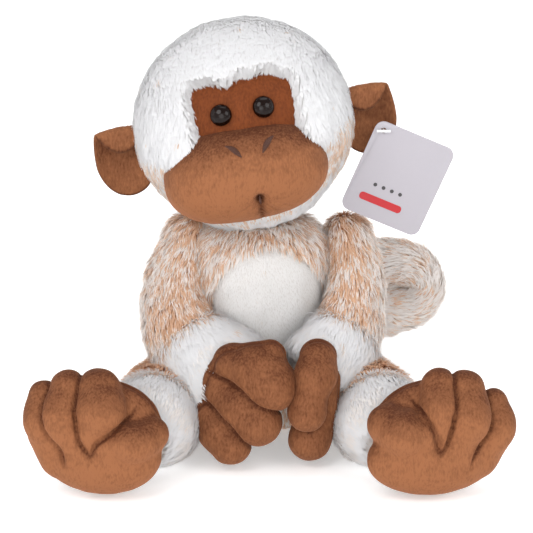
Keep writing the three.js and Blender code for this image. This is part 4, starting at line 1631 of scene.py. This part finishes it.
@dataclass
class Paw:
    """A velboa hand or foot: a pad and fat fingers or toes curled over it.

    Attributes:
        name: Its name, which is its body's too.
        nodes: The frame's nodes that it stands for.
        at: Its middle, in frame millimetres.
        pads: Middles and radii of the pads.
        lobes: Paths and radii of the fingers or toes.
        seam: Where the seam between its two panels lies along its own Y.
        nap: The direction that its painted light comes from, where its cloth is palest.
        creased: How many of the lobes have creases between them.
        pale: How pale its painted light makes its cloth.
        tilt: How far it leans back, in degrees.
        yaw: How far it is turned about the vertical.
    """

    shop: Shop
    name: str
    nodes: list
    at: Array
    pads: list
    lobes: list
    seam: float
    nap: Point
    creased: int = 4
    pale: float = 0.95
    tilt: float = 0.0
    yaw: float = 0.0

    def __post_init__(self) -> None:
        """Finds where the paw's own frame lies, in millimetres."""
        yaw = Matrix.Rotation(math.radians(self.yaw), 4, "Z")
        turn = yaw @ Matrix.Rotation(math.radians(self.tilt), 4, "X")
        self.matrix = Matrix.Translation(Vector(self.at)) @ turn

    def crease(self, points: Array) -> Array:
        """How deep the stitched creases between the fingers or toes are at each frame place."""
        local = moved_by(points, self.matrix.inverted())
        gaps = np.sort(lobe_gaps(local, self.lobes[: self.creased]), axis=1)
        between = gaps[:, 1] - gaps[:, 0]
        near = step(-gaps[:, 1], -9, -2) * step(-local[:, 1], -6, 2)
        return CREASE_DEPTH * np.exp(-((between / 1.5) ** 2)) * near

    def build(self) -> None:
        """Builds the paw."""
        parts = []
        for i, (at, radii) in enumerate(self.pads):
            pad = icosphere(f"pad_{i}", 4)
            points = vertices_of(pad) * MM * np.array(radii) + np.array(at)
            move_vertices(pad, moved_by(points, self.matrix))
            parts.append(pad)
        for i, (path, radii) in enumerate(self.lobes):
            points, faces, _, _ = Tube(path, radii, flat=0.9, sides=32, rings=36).skin()
            parts.append(mesh_object(f"lobe_{i}", points, faces, self.matrix))
        obj = fused(self.name, parts, 1.1, 14)
        points = vertices_of(obj)
        turn = np.array(self.matrix.inverted())
        depth = points @ turn[1, :3] + turn[1, 3] - self.seam
        tight = np.exp(-((depth / 2.5) ** 2)) + self.crease(points) / CREASE_DEPTH
        inflated(obj, tight, 2.5)
        points = vertices_of(obj)
        sewn = np.exp(-((depth / 1.2) ** 2))
        folds = self.crease(points)
        change = 0.35 * bump_noise(points, 8.0, 1.0) - folds - 0.8 * sewn
        points = points + normals_of(obj) * change[:, None]
        points[:, 2] = np.maximum(points[:, 2], 0.3)
        move_vertices(obj, points)
        # Painted light: paler where the paw faces its given direction; painted shade darkens the sunken seam
        # and the creases.
        nap = set_nap(obj, self.nap, 0.05, self.pale)
        set_value(obj, "nap", np.clip(nap - 0.35 * sewn - 0.2 * folds, 0, 1))
        dressed(obj, self.shop.velboa)
        fit(obj, self.name, self.nodes)


def lobe_gaps(points: Array, lobes: list) -> Array:
    """How far places lie outside each lobe.

    Args:
        points: The places, in the paw's frame.
        lobes: Paths and radii of the fingers or toes.

    Returns:
        A row for each place, with a distance for each lobe.
    """
    gaps = []
    for path, radii in lobes:
        line = smooth_path(np.array(path, float), 60)
        thick = np.interp(np.linspace(0, 1, 60), np.linspace(0, 1, len(radii)), radii)
        away = np.linalg.norm(points[:, None, :] - line[None], axis=2) - thick[None]
        gaps.append(away.min(axis=1))
    return np.stack(gaps, 1)


HAND_SHAPES = {
    Side.RIGHT: {
        "offset": (15, -27, -10),
        "seam": -1,
        "pads": [((-2, 5, 3), (22, 12, 27)), ((5, 0, -5), (18, 14, 23))],
        "lobes": [
            ([[-2, 5, 22], [12, -1, 20], [21, -6, 11]], [14, 18.5, 18.5]),
            ([[-9, 5, 4], [5, -3, -5], [13, -9, -13]], [14, 17.5, 16.5]),
            ([[-17, 4, -13], [-10, -2, -23], [-4, -8, -29]], [12, 15.5, 14]),
            ([[8, 3, 24], [21, 2, 28]], [12, 11]),
        ],
    },
    Side.LEFT: {
        "offset": (-11, -28, -15),
        "seam": 2,
        "pads": [((4, 7, 5), (10, 13, 25))],
        "lobes": [
            ([[4, 3, 29], [2, -6, 18], [-1, -9, 6], [-3, -9, -4]], [12.5, 14.5, 11, 13]),
            ([[7, 7, 12], [4, 4, -8], [-1, 0, -26]], [12, 13, 14.5]),
        ],
    },
}
FOOT_SHAPES = {
    Side.RIGHT: {
        "offset": (-31, -41, 13),
        "pads": [((4, -4, -15), (38, 18, 25)), ((1, 7, 2), (39, 17, 29))],
        "lobes": [
            ([[-34, 0, 20], [-34, -6, 5], [-20, -8, -10]], [10, 12, 9]),
            ([[-18, -2, 26], [-20, -10, 9], [-10, -13, -8]], [12, 14, 9]),
            ([[1, -2, 25], [4, -11, 13], [-2, -13, 0]], [15, 16.5, 10]),
            ([[33, -1, -1], [26, -9, -5], [9, -12, -5]], [13, 15, 10]),
            ([[-24, -2, -2], [14, -2, 6]], [11, 11]),
            ([[-31, -2, -4], [-22, -3, -18]], [13, 14]),
            ([[29, -2, -8], [25, -3, -18]], [13, 14]),
        ],
    },
    Side.LEFT: {
        "offset": (32, -41, 13),
        "pads": [((-5, -4, -16.5), (41, 18, 24)), ((-1, 7, 2), (39, 17, 29))],
        "lobes": [
            ([[36, 0, 16], [38, -6, 1], [26, -8, -14]], [9, 11, 9]),
            ([[17, -2, 25], [17, -10, 8], [9, -13, -8]], [13, 15, 9.5]),
            ([[1, -2, 28], [-1, -10, 14], [-3, -13, 1]], [12, 13, 9]),
            ([[-30, -1, 5], [-22, -9, 1], [-9, -12, 0]], [15, 17.5, 10.5]),
            ([[-14, -2, 6], [24, -2, -2]], [11, 11]),
            ([[33, -2, -6], [24, -3, -18]], [13, 14]),
            ([[-27, -2, -6], [-24, -3, -18]], [14, 14]),
        ],
    },
}


def build_paws(shop: Shop) -> None:
    """Builds both hands and both feet."""
    for side in Side:
        word = side.word
        hand = HAND_SHAPES[side]
        nodes = [f"hand_{part}_{word}" for part in ("back", "palm", "stuffing")]
        at = pivot(f"wrist_{word}") + np.array(hand["offset"])
        Paw(shop, f"hand_{word}", nodes, at, hand["pads"], hand["lobes"],
            hand["seam"], (0.1, -0.8, -0.6), 3, 0.6).build()
        foot = FOOT_SHAPES[side]
        nodes = [f"foot_{part}_{word}" for part in ("sole", "upper", "stuffing")]
        at = pivot(f"ankle_{word}") + np.array(foot["offset"])
        Paw(shop, f"foot_{word}", nodes, at, foot["pads"], foot["lobes"], 5,
            (0.0, -0.7, -0.7), 4, 0.95, -8, 8 * side.value).build()


@dataclass
class Tail:
    """The long tail, folded back on itself beside the toy."""

    shop: Shop
    root_path: tuple = ((0, 0, 0), (26, 14, 2), (50, 20, 3), (73, 21, 4))
    root_radii: tuple = (17, 19, 20, 19.5)
    tip_path: tuple = ((73, 21, 4), (94, 20, 9), (101, 20, 22), (92, 19, 36), (72, 18, 39), (46, 17, 39))
    tip_radii: tuple = (19.5, 17, 15.5, 17, 18, 16.5)

    def build(self) -> None:
        """Builds the tail's two lengths."""
        origin = pivot("tail_swing")
        Sleeve(self.shop, "tail", placed_path(list(self.root_path), origin), list(self.root_radii),
               ("tail",), ["tail_cover", "tail_stuffing"], 101, frost=0.42, across=(0, 1, 0),
               blunt=(1.0, 0.9)).build()
        Sleeve(self.shop, "tail_tip", placed_path(list(self.tip_path), origin), list(self.tip_radii),
               ("tail_tip",), ["tail_tip_cover", "tail_tip_stuffing"], 103, frost=0.4,
               across=(0, 1, 0), blunt=(0.9, 1.0)).build()


# ---- Trimmings ------------------------------------------------------------------------------

LABEL_TURN = (1, 1)  # which way along X and Y the label runs


@dataclass
class Trimmings:
    """The card on its fastener, the eyes' washers and the sewn label."""

    card: tuple[float, float, float] = (56, 65, 6)  # width, height, corner
    hole: float = 1.9
    turn: float = 23.0

    def build(self) -> None:
        """Builds the card and dresses the small nodes that stay as they are."""
        self.tag()
        self.label()
        words = [side.word for side in Side]
        stuffing = [f"{part}_stuffing_{word}" for part in ("upper_arm", "forearm") for word in words]
        for finish, names in ((WASHER, [f"eye_washer_{word}" for word in words]),
                              (NYLON, ["tag_fastener"]), (FIBRE, ["neck_stuffing", *stuffing])):
            made = finish.material()
            for name in names:
                dressed(frame["nodes"][name], made)

    def label(self) -> None:
        """Makes the blank satin label that is caught in the seat's seam."""
        low, high = (np.array(v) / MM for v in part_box("sewn_label"))
        middle, size = (low + high) / 2, high - low
        columns, rows = 24, 16
        grid = np.meshgrid(np.linspace(-0.5, 0.5, columns), np.linspace(-0.5, 0.5, rows))
        u, v = (values.ravel() for values in grid)
        across = np.array([LABEL_TURN[0] * size[0], LABEL_TURN[1] * size[1], 0]) * 0.97
        outward = unit(np.array([-across[1], across[0], 0]))
        wave = 0.35 * np.sin(7 * u + 1) * (0.6 + v) + 0.2 * np.sin(11 * v)
        points = middle + u[:, None] * across + v[:, None] * np.array([0, 0, size[2]])
        points = points + wave[:, None] * outward
        obj = mesh_object("label_satin", points, grid_faces(rows, columns), closed=False)
        thickened(obj, 0.3, offset=0)
        dressed(baked(obj), SATIN.material())
        fit(obj, "torso", ["sewn_label"])

    def outline(self, inset: float, steps: int = 8) -> Array:
        """The card's outline about its hole, drawn inwards by an inset."""
        width, height, corner = self.card
        left, top = -corner, corner
        centres = [(left + width - corner, top - height + corner, -90),
                   (left + width - corner, top - corner, 0), (left + corner, top - corner, 90),
                   (left + corner, top - height + corner, 180)]
        points = []
        for x, z, start in centres:
            for angle in np.radians(np.linspace(start, start + 90, steps)):
                radius = corner - inset
                points.append((x + radius * math.cos(angle), z + radius * math.sin(angle)))
        return np.array(points)

    def tag(self) -> None:
        """Makes the card with its printed bar and dots."""
        at = pivot("tag_swing")
        matrix = Matrix.Translation(Vector(at)) @ Matrix.Rotation(math.radians(self.turn), 4, "Y")
        ring = self.outline(0)
        count = len(ring)
        angles = np.linspace(-math.pi / 2 - 0.6, 1.5 * math.pi - 0.6, count, endpoint=False)
        hole = np.array([(self.hole * math.cos(a), self.hole * math.sin(a)) for a in angles])
        half = 0.5
        points = np.array([(x, y, z) for y in (-half, half) for x, z in np.vstack([ring, hole])])
        faces = []
        for i in range(count):
            j = (i + 1) % count
            a, b = 2 * count, 3 * count
            faces.append([i, count + i, count + j, j])
            faces.append([a + i, a + j, b + j, b + i])
            faces.append([i, j, a + j, a + i])
            faces.append([count + j, count + i, b + i, b + j])
        obj = outwards(mesh_object("card", points, faces, matrix))
        obj.data.shade_flat()
        dressed(obj, CARD.material())
        fit(obj, "tag", ["hang_tag"])
        bar = [self.print_patch(18, -46, 30, 5.2, 2.2)]
        self.finish_print(joined("tag_bar_print", bar), matrix, RED_INK)
        dots = [self.print_patch(x, -36, 2.6, 2.6, 1.3) for x in (10, 16, 22, 28)]
        self.finish_print(joined("tag_dot_print", dots), matrix, DARK_INK)

    def print_patch(self, x: float, z: float, width: float, height: float, corner: float) -> Object:
        """A rounded patch of ink, 0.1 mm thick, on the card's front.

        Args:
            x: Its middle across the card.
            z: Its middle up the card.
            width: Its width.
            height: Its height.
            corner: The radius of its corners.

        Returns:
            The patch, in the card's own frame.
        """
        points = []
        for sx, sz, start in ((1, -1, -90), (1, 1, 0), (-1, 1, 90), (-1, -1, 180)):
            for angle in np.radians(np.linspace(start, start + 90, 7)):
                points.append((x + sx * (width / 2 - corner) + corner * math.cos(angle),
                               z + sz * (height / 2 - corner) + corner * math.sin(angle)))
        count = len(points)
        both = np.array([(px, y, pz) for y in (-0.62, -0.52) for px, pz in points])
        faces = [list(range(count)), list(range(2 * count - 1, count - 1, -1))]
        faces += [[i, i + count, (i + 1) % count + count, (i + 1) % count] for i in range(count)]
        return mesh_object("ink", both, faces)

    def finish_print(self, obj: Object, matrix: Matrix, finish: PlainFinish) -> None:
        """Places ink on the card and dresses it."""
        move_vertices(obj, moved_by(vertices_of(obj), matrix))
        outwards(obj)
        obj.data.shade_flat()
        dressed(obj, finish.material())
        fit(obj, "tag", [])


# ---- Studio ---------------------------------------------------------------------------------


@dataclass
class Studio:
    """A pale sweep, soft lights and the camera."""

    target: Point = (-0.00242, 0.03234, 0.104)
    distance: float = 1.4
    elevation: float = 18.0
    lens: float = 139.0

    def build(self) -> None:
        """Builds the floor, the lights and the camera."""
        self.floor()
        self.light("key", (-0.7, -1.0, 1.2), 0.9, 8.5)
        self.light("fill", (1.0, -1.0, 1.0), 0.9, 5.5)
        self.light("top", (0.1, 0.3, 1.5), 1.2, 6.5, 0.0)
        self.light("front", (-0.2, -1.7, 0.45), 1.1, 6.0, 0.0)
        world = bpy.data.worlds.new("studio")
        world.use_nodes = True
        world.node_tree.nodes["Background"].inputs["Color"].default_value = (1, 1, 1, 1)
        world.node_tree.nodes["Background"].inputs["Strength"].default_value = 0.55
        bpy.context.scene.world = world
        data = bpy.data.cameras.new("camera")
        data.lens = self.lens
        data.sensor_width = 36
        camera = bpy.data.objects.new("camera", data)
        lift = math.radians(self.elevation)
        back = Vector((0, -math.cos(lift), math.sin(lift)))
        camera.location = Vector(self.target) + back * self.distance
        camera.rotation_euler = (-back).to_track_quat("-Z", "Y").to_euler()
        bpy.context.scene.collection.objects.link(camera)
        bpy.context.scene.camera = camera
        bpy.context.scene.view_settings.view_transform = "Standard"

    def floor(self) -> None:
        """Makes the floor, which sweeps up all round the toy."""
        profile = [(0.4 * k, 0.0) for k in range(1, 9)]
        for angle in np.radians(range(10, 91, 10)):
            profile.append((3.2 + 1.0 * math.sin(angle), 1.0 - 1.0 * math.cos(angle)))
        profile.append((4.2, 3.0))
        sides = 64
        points = [(0.0, 0.0, 0.0)]
        for radius, height in profile:
            for i in range(sides):
                angle = 2 * math.pi * i / sides
                points.append((radius * math.cos(angle), radius * math.sin(angle), height))
        faces = []
        for i in range(sides):
            j = (i + 1) % sides
            faces.append([0, 1 + i, 1 + j])
            for k in range(len(profile) - 1):
                a, b = 1 + k * sides, 1 + (k + 1) * sides
                faces.append([a + i, b + i, b + j, a + j])
        floor = mesh_object("floor", np.array(points) / MM, faces, closed=False)
        material, _, shader = new_material("paper_sweep")
        shader.inputs["Base Color"].default_value = linear("#fbfbfb")
        shader.inputs["Roughness"].default_value = 0.9
        shader.inputs["Emission Color"].default_value = (1, 1, 1, 1)
        shader.inputs["Emission Strength"].default_value = 0.3
        dressed(floor, material)

    def light(self, name: str, place: Point, size: float, power: float, gloss: float = 1.0) -> None:
        """Adds a soft box that faces the toy.

        Args:
            name: The light's name.
            place: Where it stands, in metres.
            size: How wide it is, in metres.
            power: Its power in watts.
            gloss: How much of it shows in glossy things.
        """
        data = bpy.data.lights.new(name, "AREA")
        data.shape = "DISK"
        data.size = size
        data.energy = power
        data.specular_factor = gloss
        light = bpy.data.objects.new(name, data)
        light.location = place
        aim = Vector(self.target) - Vector(place)
        light.rotation_euler = aim.to_track_quat("-Z", "Y").to_euler()
        bpy.context.scene.collection.objects.link(light)


def main() -> None:
    """Builds the toy and the studio round it."""
    logging.basicConfig(level=logging.INFO, format="%(message)s")
    Studio().build()
    shop = Shop.opened()
    Head(shop).build()
    for side in Side:
        Ear(shop, side).build()
    Torso(shop).build()
    for side in Side:
        Arm(shop, side).build()
        Leg(shop, side).build()
    build_paws(shop)
    Tail(shop).build()
    Trimmings().build()
    bpy.data.objects.remove(shop.blade)


if __name__ == "__main__":
    main()
